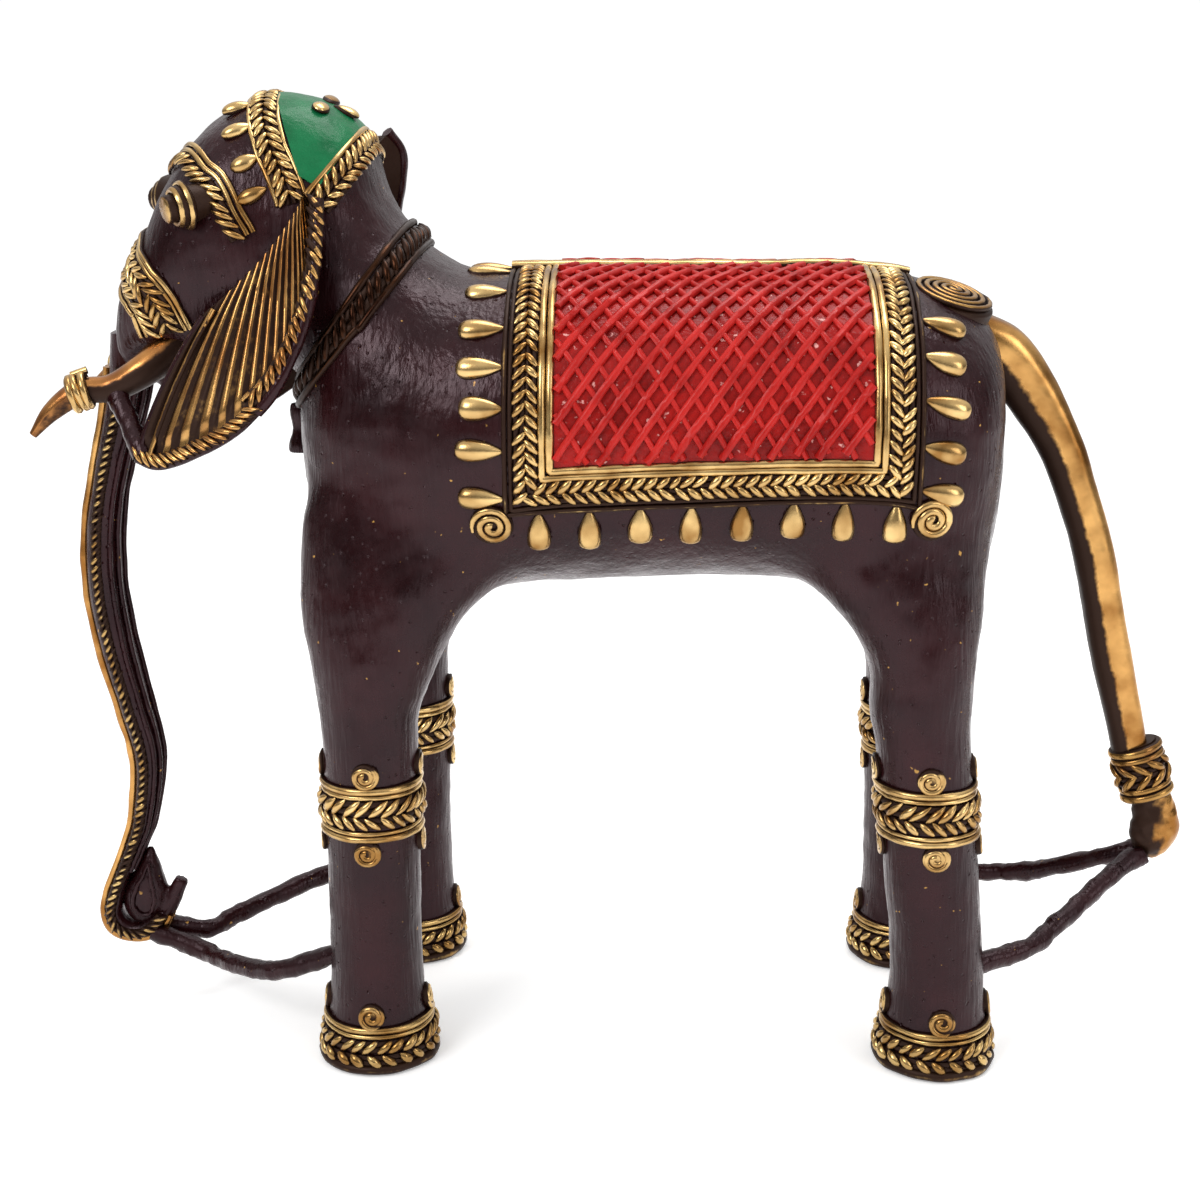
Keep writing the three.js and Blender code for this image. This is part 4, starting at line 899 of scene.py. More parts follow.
eye_profile = [
    (4.95, 0.2), (4.85, 0.8), (4.6, 1.15), (4.3, 1.15), (4.15, 0.8), (4.1, 0.5), (4.1, 1.9),
    (3.95, 2.6), (3.6, 2.95), (3.1, 2.9), (2.85, 2.5), (2.75, 2.2), (2.75, 4.0), (2.65, 4.6), (2.3, 4.85),
    (0.6, 4.9),
]
# How bright an eye is rubbed at each radius: its rings and disc are bright, and its grooves are dark
eye_radii = [0, 2.45, 2.7, 2.78, 3.1, 3.95, 4.1, 4.18, 4.35, 4.86, 4.95]
eye_polish = [1, 1, 0.3, 0.1, 1, 1, 0.1, 0.1, 1, 1, 0.2]
# The far eye's marks are scaled to 0.7 of the near eye's: painted shade on the eye across the head
for name, tip, gaze, painted_shade_factor, foot in [
    ("near_eye", (-88.6, -23.2, 178.6), (-6.1, -4.0, -1.4), 1.0, 3.4),
    ("far_eye", (-100.2, 16.7, 178.8), (-6.5, 3.4, -0.4), 0.7, 6.2),
]:
    aim = unit(np.array(gaze, float))
    place = np.array(tip) + [centre_x, 0, 0] - aim * eye_profile[-1][1]
    profile = [(foot, -6.5), (foot * 0.4 + 2.4, -0.6)] + eye_profile
    eye = turned(f"{name}_cone", profile, vertices=40, place=place, gaze=gaze)
    points = take(eye)
    rise = (points - place) @ aim
    away = np.linalg.norm(points - place - rise[:, None] * aim, axis=1)
    steps = (rise > 0.4) * np.interp(away, eye_radii, eye_polish)
    points += np.random.default_rng(5).normal(0, 0.03, points.shape)
    give(eye, points)
    mark(eye, steps * painted_shade_factor)
    smooth(eye, angle=35)
    set_out(eye, [name], brass)


# Tusks. Rolled wax in copper-coloured brass, with painted light on the faces turned up and forward and
# painted shade beneath, bright at the tip, with a knot of wire part of the way along.

tusk_brass = rubbed_brass("copper_brass_with_painted_top_light", "#c98f52", "#8d5733", coverage=0.5)
tusk_radius, knot_reach, knot_wire = 2.8, 3.3, 0.85
for side_name, side in SIDES:
    root = np.array([-poll - 42.7 + centre_x, side * 14.5, jaw + 5.5])
    path = root + np.array([(-ahead, side * outward, -below) for ahead, outward, below in [
        (-4, -8, -3.5), (1, -3.6, 1.0), (6.5, 0.7, 5.5), (12.9, 1.5, 8.9), (19.2, 2.5, 9.6), (25, 3.3, 13.5),
        (29.1, 4, 18.3)]])
    share = np.linspace(0, 1, 60)
    radii = tusk_radius * through([(r,) for r in (1.6, 1.45, 1.2, 1, 0.93, 0.7, 0.3)], share)[:, 0]
    tusk = drawn(f"{side_name}_tusk_horn", [(through(path, share), radii, False)], roundness=6)
    normals = facings(tusk)
    # Painted light: faces turned up and forward are marked brighter and the underside darker, as the lamps
    # would light them
    top = np.clip(normals[:, 2] * 1.1 + 0.05 - 0.4 * normals[:, 0], 0, 1)
    tip = np.clip((root[0] - 17 - take(tusk)[:, 0]) / 4, 0, 1)
    mark(tusk, np.clip(top + tip * 0.45, 0, 1))
    set_out(tusk, [f"{side_name}_tusk"], tusk_brass)

    knot_centre = through(path, 4.0 / 6)[0]
    axis = unit(through(path, 4.3 / 6)[0] - through(path, 3.7 / 6)[0])
    first = unit(np.cross(axis, UP))
    second = np.cross(axis, first)
    swing = np.linspace(0, 2 * math.pi, 40, endpoint=False)
    knot = []
    for shift, tilt in [(-1.3, 0.25), (0.1, -0.2), (1.4, 0.15)]:
        ring = np.cos(swing)[:, None] * first + np.sin(swing)[:, None] * second
        centre = knot_centre + axis * shift + axis * (tilt * np.sin(swing))[:, None]
        knot.append((centre + ring * knot_reach, np.full(40, knot_wire), True))
    tie = knot_centre + UP * 3.9 + axis * np.linspace(-1.7, 1.7, 6)[:, None]
    knot.append((tie, np.full(6, 0.8), False))
    knot = drawn(f"{side_name}_tusk_knot", knot)
    from_centre = take(knot) - knot_centre
    away = np.linalg.norm(from_centre - (from_centre @ axis)[:, None] * axis, axis=1)
    mark(knot, np.clip((away - knot_reach) / 0.7, 0, 1))
    set_out(knot, [f"{side_name}_tusk_ring"], brass)


# Forehead band and muzzle band. A rope in front of two wires rises from each ear to the middle of the
# forehead, and three ropes between wire pairs are saddled over the root of the trunk.

def head_guide(line):
    """A line over the head, given for the near side from its end to the middle, and mirrored."""
    near = [tuple(spot) for spot in line]
    whole = near + [(station, -angle) for station, angle in reversed(near[:-1])]
    spots = through(whole, np.linspace(0, 1, 200))
    return head_form.bare(spots[:, 0], spots[:, 1])


def band_along(name, guide, wires, ropes):
    """A band over the head: wires of (offset, radius, seed) and ropes of (offset, radius, bead, hand)."""
    threads = []
    for offset, radius, seed in wires:
        threads += wire(laid(guide, skin_surface, offset), radius, seed=seed)
    rows = [(laid(guide, skin_surface, offset), *rope_sizes) for offset, *rope_sizes in ropes]
    return banded(name, threads, rows, skin_surface)


forehead = head_guide([(3.7, 1.56), (4.3, 1.42), (4.95, 1.2), (5.6, 0.98), (6.6, 0.36), (6.85, 0)])
forehead_threads = band_along("forehead_threads", forehead, wires=[(-1.0, 0.6, 32), (-2.4, 0.6, 33)],
                              ropes=[(1.3, 1.5, 2.0, 1)])
set_out(forehead_threads, ["forehead_band"], brass)

muzzle = head_guide([(5.4, 2.32), (6.6, 1.9), (7.75, 1.5), (8.6, 0.95), (9.0, 0)])
muzzle_threads = band_along("muzzle_threads", muzzle,
                            wires=[(-5.3, 0.65, 37), (-4.1, 0.5, 49), (4.8, 0.5, 138), (6.1, 0.65, 151)],
                            ropes=[(-2.3, 1.4, 2.0, 1), (0.4, 1.4, 2.0, -1), (3.1, 1.4, 2.0, 1)])
set_out(muzzle_threads, ["muzzle_band"], brass)


# Cap. A field painted leaf green lies between a front band of two ropes, which bears almond leaves, and a
# rear band. Four petals and a knob in low relief stand on the field.

cap_front_line = head_guide([(2.95, 1.27), (3.3, 1.16), (3.65, 1.04), (4.05, 0.88), (4.5, 0.55), (4.75, 0)])
cap_front = band_along("cap_front_threads", cap_front_line, wires=[(-2.9, 0.5, 42), (2.9, 0.5, 100)],
                       ropes=[(-1.3, 1.3, 2.1, 1), (1.3, 1.3, 2.1, -1)])
set_out(cap_front, ["cap_front_band"], brass)

cap_rear_line = head_guide([(2.36, 1.16), (2.22, 0.8), (2.18, 0.4), (2.2, 0)])
cap_rear = band_along("cap_rear_threads", cap_rear_line, wires=[(2.7, 0.65, 44)],
                      ropes=[(0.8, 1.35, 2.4, 1), (-1.8, 1.2, 2.3, -1)])
set_out(cap_rear, ["cap_rear_band"], brass)


def drop_shape(name, length, width, height, belly_at=0.68, sharpness=1.0, bluntness=2.0):
    """A drop of wax pressed flat below: a ball drawn out to a point at the start of its length."""
    deselect()
    bpy.ops.mesh.primitive_uv_sphere_add(segments=18, ring_count=14, radius=1.0,
                                         rotation=(0, math.pi / 2, 0))
    piece = made(name)
    bpy.ops.object.transform_apply(location=False, rotation=True, scale=False)
    ball = take(piece) * MM
    share = (ball[:, 0] + 1) / 2
    past = np.clip((share - belly_at) / (1 - belly_at), 0, 1)
    taper = np.sin(np.clip(share / belly_at, 0, 1) * math.pi / 2) ** sharpness
    girth = np.where(share < belly_at, taper * 0.86 + 0.14, (1 - past ** bluntness) ** (1 / bluntness))
    girth *= 1 / np.maximum(np.sqrt(np.clip(1 - ball[:, 0] ** 2, 1e-6, 1)), 1e-3)
    girth[np.abs(ball[:, 0]) > 0.9999] = 0
    shaped = np.stack([share * length, ball[:, 1] * girth * width / 2, ball[:, 2] * girth * height], 1)
    shaped[:, 2] = np.maximum(shaped[:, 2], -0.3 * height)
    give(piece, shaped)
    return piece


def set_down(name, pattern, spots, base=skin_surface):
    """Copies of a pattern at spots of (place, heading), laid flat on the surface and joined as one piece."""
    copies = []
    for number, (place, heading) in enumerate(spots):
        point, out = pressed(np.array([place]), base)
        out = unit(out[0])
        ahead = unit(heading - out * (heading @ out))
        across = np.cross(out, ahead)
        turn = Matrix([ahead, across, out]).transposed().to_4x4()
        copy = pattern.copy()
        copy.data = pattern.data.copy()
        bpy.context.scene.collection.objects.link(copy)
        uneven = 1 + 0.05 * math.sin(number * 2.3)
        size = Matrix.Diagonal((uneven, 2 - uneven, 1, 1))
        copy.data.transform(Matrix.Translation(Vector(point[0]) * MM) @ turn @ size)
        copies.append(copy)
    whole = joined(name, copies)
    bpy.data.objects.remove(pattern)
    smooth(whole, angle=60)
    return whole


leaf_spots = []
for side in (NEAR, FAR):
    for station, angle in [(4.72, 0.33), (4.44, 0.68), (3.98, 0.99), (3.48, 1.22)]:
        angle = angle * -side
        along, _, out = head_form.slopes(station, angle)
        ahead = unit(unit(along[0]) - UP * 0.75)
        leaf_spots.append((head_form.bare(station, angle)[0] + unit(along[0]) * 1.6, ahead))
leaf_drop = drop_shape("leaf", length=6.4, width=3.3, height=1.5, belly_at=0.55, sharpness=0.9)
leaves = set_down("cap_leaves", leaf_drop, leaf_spots)
rub(leaves, skin_surface, low=0.0, high=0.4, sides=0.0)
set_out(leaves, ["cap_front_band"], brass)


def painted(name, colour, dark, brush_size, specks=0.0):
    """Thick gloss enamel brushed on brass: even in colour, darker in places, with brush marks, and, where
    specks is given, pale specks painted on as glints.
    """
    material, shader, links = new_material(name)
    place = add_node(material, "ShaderNodeTexCoord").outputs["Object"]
    blot_size, glint_size = 5.882, 1.5625
    blots = add_node(material, "ShaderNodeTexNoise", [("Vector", place)], Scale=every(blot_size), Detail=4.0)
    tone = add_node(material, "ShaderNodeValToRGB", [("Fac", blots.outputs["Fac"])])
    tone.color_ramp.elements[0].position, tone.color_ramp.elements[1].position = 0.3, 0.62
    tone.color_ramp.elements[0].color, tone.color_ramp.elements[1].color = linear(dark), linear(colour)
    links.new(tone.outputs["Color"], shader.inputs["Base Color"])
    # Specks are painted highlights: pale glints of the gloss, put into the colour
    if specks:
        glint_noise = add_node(material, "ShaderNodeTexNoise", [("Vector", place)],
                        Scale=every(glint_size), Detail=3.0)
        painted_glints = add_node(material, "ShaderNodeMapRange", [("Value", glint_noise.outputs["Fac"])],
                           From_Min=specks, From_Max=specks + 0.06)
        both = add_node(material, "ShaderNodeMix", [("Factor", painted_glints.outputs["Result"])], data_type="RGBA")
        both.inputs[MIX_OVER].default_value = linear("#e0a39c")
        links.new(tone.outputs["Color"], both.inputs[MIX_UNDER])
        links.new(both.outputs[MIX_RESULT], shader.inputs["Base Color"])
    shader.inputs["Roughness"].default_value = 0.3
    shader.inputs["Specular IOR Level"].default_value = 0.16
    brushed = add_node(material, "ShaderNodeTexNoise", [("Vector", place)],
                       Scale=every(brush_size), Detail=5.0)
    bumps = add_node(material, "ShaderNodeBump", [("Height", brushed.outputs["Fac"])], Strength=0.7,
                     Distance=0.3 * MM)
    links.new(bumps.outputs["Normal"], shader.inputs["Normal"])
    return material


green_paint = painted("brushed_green_enamel", "#14693f", "#0f5934", brush_size=2.0)


def painted_sheet(name, rows, columns, place_at, lift, thickness):
    """A thin painted field: a grid pressed onto the skin, raised and given its thickness."""
    deselect()
    bpy.ops.mesh.primitive_grid_add(x_subdivisions=rows, y_subdivisions=columns, size=2)
    sheet = made(name)
    flat = take(sheet) * MM
    points, out = pressed(place_at((flat[:, 0] + 1) / 2, (flat[:, 1] + 1) / 2), skin_surface)
    give(sheet, points + out * lift)
    if (facings(sheet) * out).sum() < 0:
        sheet.data.flip_normals()
    finish_with(sheet, "SOLIDIFY", thickness=thickness * MM, offset=-1.0)
    smooth(sheet, angle=40)
    return sheet


def cap_place(u, v):
    """Places on the cap's field: u runs across the head, and v from the rear band to the front one."""
    share = 2 * u - 1
    front, rear = 4.5 - 1.35 * share ** 2, 2.42 + 0.12 * np.abs(share)
    return head_form.bare(rear + (front - rear) * v, share * 1.07)


cap_field = painted_sheet("cap_paint", rows=60, columns=30, place_at=cap_place, lift=0.75, thickness=1.3)
set_out(cap_field, ["cap_field"], green_paint)
cap_surface = surface(cap_field)

rosette_middle, petal_inset, knob_width = head_form.bare(3.5, 0.13)[0], 1.6, 3.4
petal_spots = []
for turn in (0.0, 1.57, 3.14, 4.71):
    heading = np.array([math.cos(turn), math.sin(turn), 0])
    petal_spots.append((rosette_middle + heading * petal_inset, heading))
petal_drop = drop_shape("petal", length=5.6, width=3.8, height=1.1, belly_at=0.62, sharpness=0.8)
petals = set_down("cap_petals", petal_drop, petal_spots, cap_surface)
knob_spot = (rosette_middle + np.array([-knob_width / 2, 0, 0]), np.array([1.0, 0, 0]))
knob_drop = drop_shape("knob", length=knob_width, width=knob_width, height=1.5, belly_at=0.5, sharpness=0.5)
knob = set_down("cap_knob", knob_drop, [knob_spot], cap_surface)
rosette = joined("cap_petals", [petals, knob])
rub(rosette, cap_surface, low=0.3, high=1.0)
set_out(rosette, ["cap_rosette"], brass)


# Trunk. A flattened strap of wax hangs from the muzzle. A flat bright ridge runs down its front and a rope
# down each edge, and its back is bare and dark.

trunk_width, curl_top, curl_half = 12.0, 37, 3.4
trunk_rows = []
for share, ahead, depth, width in [
    (-0.03, 0.1, 8.6, trunk_width + 3), (0.1, 2.3, 8, trunk_width + 0.6),
    (0.225, 6.2, 7, trunk_width - 0.4), (0.34, 8.9, 6.8, trunk_width - 1),
    (0.457, 9.5, 6.8, trunk_width - 1.4), (0.58, 8, 6.6, trunk_width - 1.8),
    (0.706, 5, 6, trunk_width - 2.4), (0.82, 2.7, 5.8, trunk_width - 3.8),
]:
    z = jaw + 3.5 + (curl_top - jaw - 3.5) * share
    x = -poll - face + 2.9 - ahead
    trunk_rows.append((x - depth / 2, z - 0.6, x + depth / 2, z + 0.6, width / 2))
tip_x = -poll - face - 4.2          # the curl is measured from the line 109.2 mm ahead of the middle
for outer_x, outer_z, inner_x, inner_z in [
    (0.5, 44.0, 4.9, 43.2), (-1.8, 36.6, 2.6, 37.2), (-4.3, 30.0, -0.2, 31.0), (-6.6, 24.4, -2.5, 25.2),
    (-7.4, 20.8, -3.5, 21.0), (-6.7, 17.4, -3.1, 18.9), (-4.6, 15.2, -2.0, 18.0), (-1.6, 14.3, -0.6, 17.8),
    (1.7, 14.6, 0.8, 18.0), (4.8, 16.4, 2.6, 19.4), (6.8, 19.4, 4.2, 21.0),
]:
    trunk_rows.append((tip_x + outer_x, outer_z, tip_x + inner_x, inner_z, curl_half))
trunk_form = Form(trunk_rows, squareness=2.6)
trunk = shell("trunk_strap", trunk_form, rows=170, around=48)
hand_worked(trunk, wax_waves, depth=0.5)
smooth(trunk, angle=60)
trunk_surface = surface(trunk)
set_out(trunk, ["trunk", "trunk_tip"], patina)


def trunk_guide(angle, last=18.4):
    """A line down the trunk at one angle round it, as far as a station."""
    return trunk_form.bare(np.linspace(0.5, last, 260), angle)


# The wheel took the broad faces of the ridge and of the tail down to even, satin metal
satin_brass = rubbed_brass("satin_brass", "#d6a462", "#8a5c2c", coverage=0.42)
ridge_threads = []
for angle in (0.25, 0.0, -0.25):
    ridge_threads += wire(laid(trunk_guide(angle), trunk_surface), 0.95, height=0.55, seed=51)
ridge = drawn("trunk_front_ridge", ridge_threads)
rub(ridge, trunk_surface, low=0.1, high=0.3, sides=-1.0)
set_out(ridge, ["trunk_ridge", "trunk_tip"], satin_brass)
for side_name, side in SIDES:
    row = (laid(trunk_guide(-side * 1.5), trunk_surface), 1.15, 1.8, side)
    trunk_rope = banded(f"{side_name}_trunk_threads", [], [row], trunk_surface, bead_low=0.95,
                        bead_high=1.3)
    set_out(trunk_rope, [f"{side_name}_trunk_rope", "trunk_tip"], worn_brass)
    edge = wire(laid(trunk_guide(-side * 2.2, 10.0), trunk_surface), 0.55, seed=57)
    edge += wire(laid(trunk_guide(-side * 2.75, 10.0), trunk_surface), 0.6, seed=58)
    trunk_edge = drawn(f"{side_name}_trunk_edge", edge)
    set_out(trunk_edge, [f"{side_name}_trunk_rope"], patina)


# Trunk tip. The strap curls forward and up like the letter J round a dark leaf with a raised rim, and ends in
# a small finger.

leaf_form = Form([
    (tip_x + left, left_z, tip_x + right, right_z, half) for left, left_z, right, right_z, half in [
        (2.7, 35.6, 4.1, 35.6, 0.7), (0.7, 32.0, 5.3, 31.7, 2.2), (-1.6, 28.2, 6.1, 28.2, 3.0),
        (-3.3, 25.0, 6.8, 25.2, 3.4), (-3.5, 22.0, 6.8, 22.4, 3.4), (-2.2, 18.9, 5.4, 19.2, 3.0),
        (0.2, 17.2, 3.4, 17.2, 2.0),
    ]], squareness=2.2)


def tip_line(points, y, count):
    """A smooth line through points of the curl, given ahead of its middle and above the floor."""
    return through([(tip_x + centre_x + x, y, z) for x, z in points], np.linspace(0, 1, count))


leaf_body = shell("curl_leaf", leaf_form, rows=60, around=48)
finger_line = tip_line([(3.2, 17.0), (7.4, 22.4), (10.2, 28.0)], 0, 20)
finger = drawn("curl_finger", [(finger_line, np.linspace(2.6, 1.5, 20), False)], roundness=5)
tip = joined("curl_leaf", [leaf_body, finger])
finish_with(tip, "REMESH", mode="VOXEL", voxel_size=0.45 * MM)
finish_with(tip, "SMOOTH", factor=0.5, iterations=3)
hand_worked(tip, wax_dents, depth=0.4)
smooth(tip, angle=70)
set_out(tip, ["trunk_tip"], patina)
tip_surface = surface(tip)
rims = []
for side in (NEAR, FAR):
    outline = tip_line([(3.4, 33.2), (1.6, 30.0), (-0.2, 26.4), (-0.9, 23.0), (0.9, 20.4), (3.4, 20.4),
                        (4.9, 23.0), (4.9, 26.6), (4.2, 30.0), (3.4, 33.2)], side * 5.0, 90)
    rims += wire(laid(outline, tip_surface), 0.5, seed=61)
leaf_rims = drawn("curl_leaf_rims", rims)
set_out(leaf_rims, ["trunk_tip"], patina)


# Tail. A strap of wax bent down from the rump, rubbed to bare satin brass on its outer face and dark on the
# inner one, with a ring of three turns of rope at its end and a tuft below.

tail_reach, tail_width, tail_end = 113.5, 7.6, 61.5
tail_rows = [
    (rump - 6.5, back - 7.5, rump - 10.5, back - 18.5, (tail_width + 4.4) / 2),
    (rump + 4.5, back - 12.5, rump - 2.5, back - 22.5, (tail_width + 3.4) / 2),
    (rump + 11.8, back - 22, rump + 4.2, back - 30.5, (tail_width + 1.4) / 2),
    (rump + 18.2, back - 34.5, rump + 10, back - 39, (tail_width + 0.4) / 2),
    (rump + 23, back - 47.5, rump + 14.8, back - 50, tail_width / 2),
    (rump + 26.9, back - 59, rump + 18.4, back - 61, tail_width / 2),
    (tail_reach - 4.6, tail_end + 33.5, tail_reach - 13, tail_end + 32.5, (tail_width - 0.2) / 2),
    (tail_reach - 1.5, tail_end + 20.5, tail_reach - 10, tail_end + 19.5, (tail_width - 0.4) / 2),
    (tail_reach + 1, tail_end + 10.5, tail_reach - 7.2, tail_end + 10, (tail_width - 0.6) / 2),
    (tail_reach + 3.6, tail_end - 1.5, tail_reach - 3.8, tail_end - 2.5, (tail_width - 1) / 2),
]
tail_form = Form(tail_rows, squareness=2.8)
tail = shell("tail_strap", tail_form, rows=140, around=48)
points = take(tail)
hand_worked(tail, wax_waves, depth=0.5)
down_tail = np.linspace(0, tail_form.last, 200)
tops, bottoms = tail_form.bare(down_tail, 0.0), tail_form.bare(down_tail, math.pi)
axis_points = (tops + bottoms) / 2
nearest = np.argmin(((points[:, None, [0, 2]] - axis_points[None, :, [0, 2]]) ** 2).sum(2), 1)
across_tail = ((points - axis_points[nearest]) * unit(tops - bottoms)[nearest]).sum(1)
half_depth = np.linalg.norm(tops - bottoms, axis=1)[nearest] / 2
mark(tail, np.clip((across_tail / half_depth + 0.5) / 0.7, 0, 1))
smooth(tail, angle=60)
set_out(tail, ["tail"], satin_brass)

# The turns of rope and the boss were rubbed only in part, so they are duller and browner than the tail
half_rubbed_brass = rubbed_brass("half_rubbed_brass", "#c39a58", "#7d5730", coverage=0.5)
ring_axis = unit(np.array([0.32, 0, -1.0]))
ring_top = np.array([tail_reach + centre_x + 0.6, 0, tail_end + 0.4])
ring_reach, ring_steps = 4.7, 60
swing = np.linspace(0, 2 * math.pi, ring_steps, endpoint=False)


def ring_turn(down):
    """One turn round the flattened end of the tail, with the directions out and sideways."""
    across = np.cross(ring_axis, [0, 1.0, 0])
    out = np.cos(swing)[:, None] * across + np.sin(swing)[:, None] * np.array([0, 0.78, 0])
    around = ring_top + ring_axis * down + out * ring_reach
    return around, unit(out), np.broadcast_to(ring_axis, around.shape)


def flattened(piece, share):
    """Presses a piece flatter across the figure."""
    points = take(piece)
    points[:, 1] *= share
    give(piece, points)


core_line = np.linspace(ring_top - ring_axis * 0.6, ring_top + ring_axis * 12.4, 12)
core = drawn("tail_end_core", [(core_line, np.full(12, ring_reach), False)], roundness=6)
flattened(core, share=0.8)
smooth(core, angle=60)
core_surface = surface(core)
mark(core, 0)
wires = []
for down, radius in [(0.6, 0.95), (2.4, 0.8), (9.6, 0.8), (11.3, 0.95)]:
    around, out, _ = ring_turn(down)
    wires += [(around + out * 0.45, radius + waver(ring_steps, True, 0.12, int(down)), True)]
ropes = [(ring_turn(down), 1.6, 2.9, hand) for down, hand in [(4.5, 1), (7.3, -1)]]
turns = banded("tail_turns", wires, ropes, core_surface, bead_low=0.8, bead_high=1.3, closed=True)
set_out(joined("tail_end_turns", [turns, core]), ["tail_ring"], half_rubbed_brass)

tuft_shares = np.linspace(0, 1, 40)
tuft_line = np.array([(tail_reach + behind, 0, tail_end - below) for behind, below in [
    (4.4, 9.5), (6.1, 15.5), (6.3, 19), (6.0, 23), (5.9, 26)]]) + [centre_x, 0, 0]
tuft_radii = through([(4.0,), (4.9,), (5.4,), (4.4,), (1.6,)], tuft_shares)[:, 0]
tuft = drawn("tail_tuft_wax", [(through(tuft_line, tuft_shares), tuft_radii, False)], roundness=8)
flattened(tuft, share=0.68)
finish_with(tuft, "REMESH", mode="VOXEL", voxel_size=0.5 * MM)
hand_worked(tuft, wax_dents, depth=1.1)
finish_with(tuft, "SMOOTH", factor=0.5, iterations=2)
smooth(tuft, angle=60)
points = take(tuft)
patches = np.sin(points[:, 0] * 1.1 + 1.5 * np.sin(points[:, 2] * 0.7)) * 0.16
mark(tuft, np.clip((points[:, 0] - (tail_reach + centre_x + 4.0)) / 6 + patches, 0, 1))
set_out(tuft, ["tail_tuft"], satin_brass)

# The boss over the tail's root is a low dome that leans to the near side, with a thread wound over it four
# and a half times
boss_box = np.array([tuple(corner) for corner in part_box("tail_root_boss")])
boss_place, boss_out = pressed(np.array([(boss_box[0] + boss_box[1]) / 2 / MM]), skin_surface)
boss_out = unit(boss_out + [-0.26, -0.1, 0.08])[0]
boss_spot = boss_place[0] - [2.4, 0, 0] - boss_out * 0.6
boss_profile = [(8.8, -2.5), (9.1, 0.5), (8.9, 1), (8, 1.35), (5, 1.8), (2.5, 2.05), (0.5, 2.1)]
boss_dome = turned("tail_root_dome", boss_profile, vertices=48, place=boss_spot, gaze=boss_out)
smooth(boss_dome, angle=60)
mark(boss_dome, 0.3)
dome_surface = surface(boss_dome)
boss_coil = coil(boss_spot + boss_out * boss_profile[-1][1], boss_out, start=np.array([-1.0, 0, 0]),
                 turns=4.6, reach=8.9, radius=0.66, base=dome_surface)
boss = drawn("tail_root_swirl", [boss_coil])
rub(boss, dome_surface, low=0.85, high=1.15)
boss = joined("tail_root_swirl", [boss, boss_dome])
set_out(boss, ["tail_root_boss"], half_rubbed_brass)


# Blanket. The border lies flat on the flank: two wires, two ropes whose twists meet in chevrons, and two
# broad wires. Drops hang outward from it, and a spiral marks each lower corner.

blanket_front, blanket_back, blanket_drop, border_width = 22.0, 60.0, 69.5, 10.0
spine_edge, rear_shortening = 1.6, 0.05


def station_over(form, x):
    """The stations at which the top of a form lies at x."""
    low, high = np.zeros(len(x)), np.full(len(x), float(form.last))
    for _ in range(36):
        middle = (low + high) / 2
        ahead = form.bare(middle, 0.0)[:, 0] > x
        low, high = np.where(ahead, middle, low), np.where(ahead, high, middle)
    return low


def flank(x, drop, side):
    """Places on the flank, by the distance along the back and the distance down from the spine."""
    x, drop = np.broadcast_arrays(np.atleast_1d(x).astype(float), np.asarray(drop, float))
    drop = drop * (1 - rear_shortening * (x + blanket_front) / (blanket_front + blanket_back))
    x = x + centre_x
    station, angle = station_over(torso_form, x), np.zeros(len(x))
    steps = 26
    for _ in range(steps):
        out = torso_form.slopes(station, angle)[2]
        down = unit(np.cross(out, np.array([side, 0.0, 0.0]))) * (drop / steps)[:, None]
        station, angle = torso_form.slide(station, angle, down)
        back_to_x = np.zeros((len(x), 3))
        back_to_x[:, 0] = x - torso_form.bare(station, angle)[:, 0]
        station, angle = torso_form.slide(station, angle, back_to_x)
    return torso_form.bare(station, angle)


def border_line(inset, side):
    """A line laid round three sides of the blanket, at a distance inside its outer edge."""
    front, rear, low = -blanket_front + inset, blanket_back - inset, blanket_drop - inset
    down = np.linspace(spine_edge, low, 50)
    over = np.linspace(front, rear, 60)[1:-1]
    x = np.r_[np.full(len(down), front), over, np.full(len(down), rear)]
    drop = np.r_[down, np.full(len(over), low), down[::-1]]
    return laid(flank(x, drop, side), skin_surface)
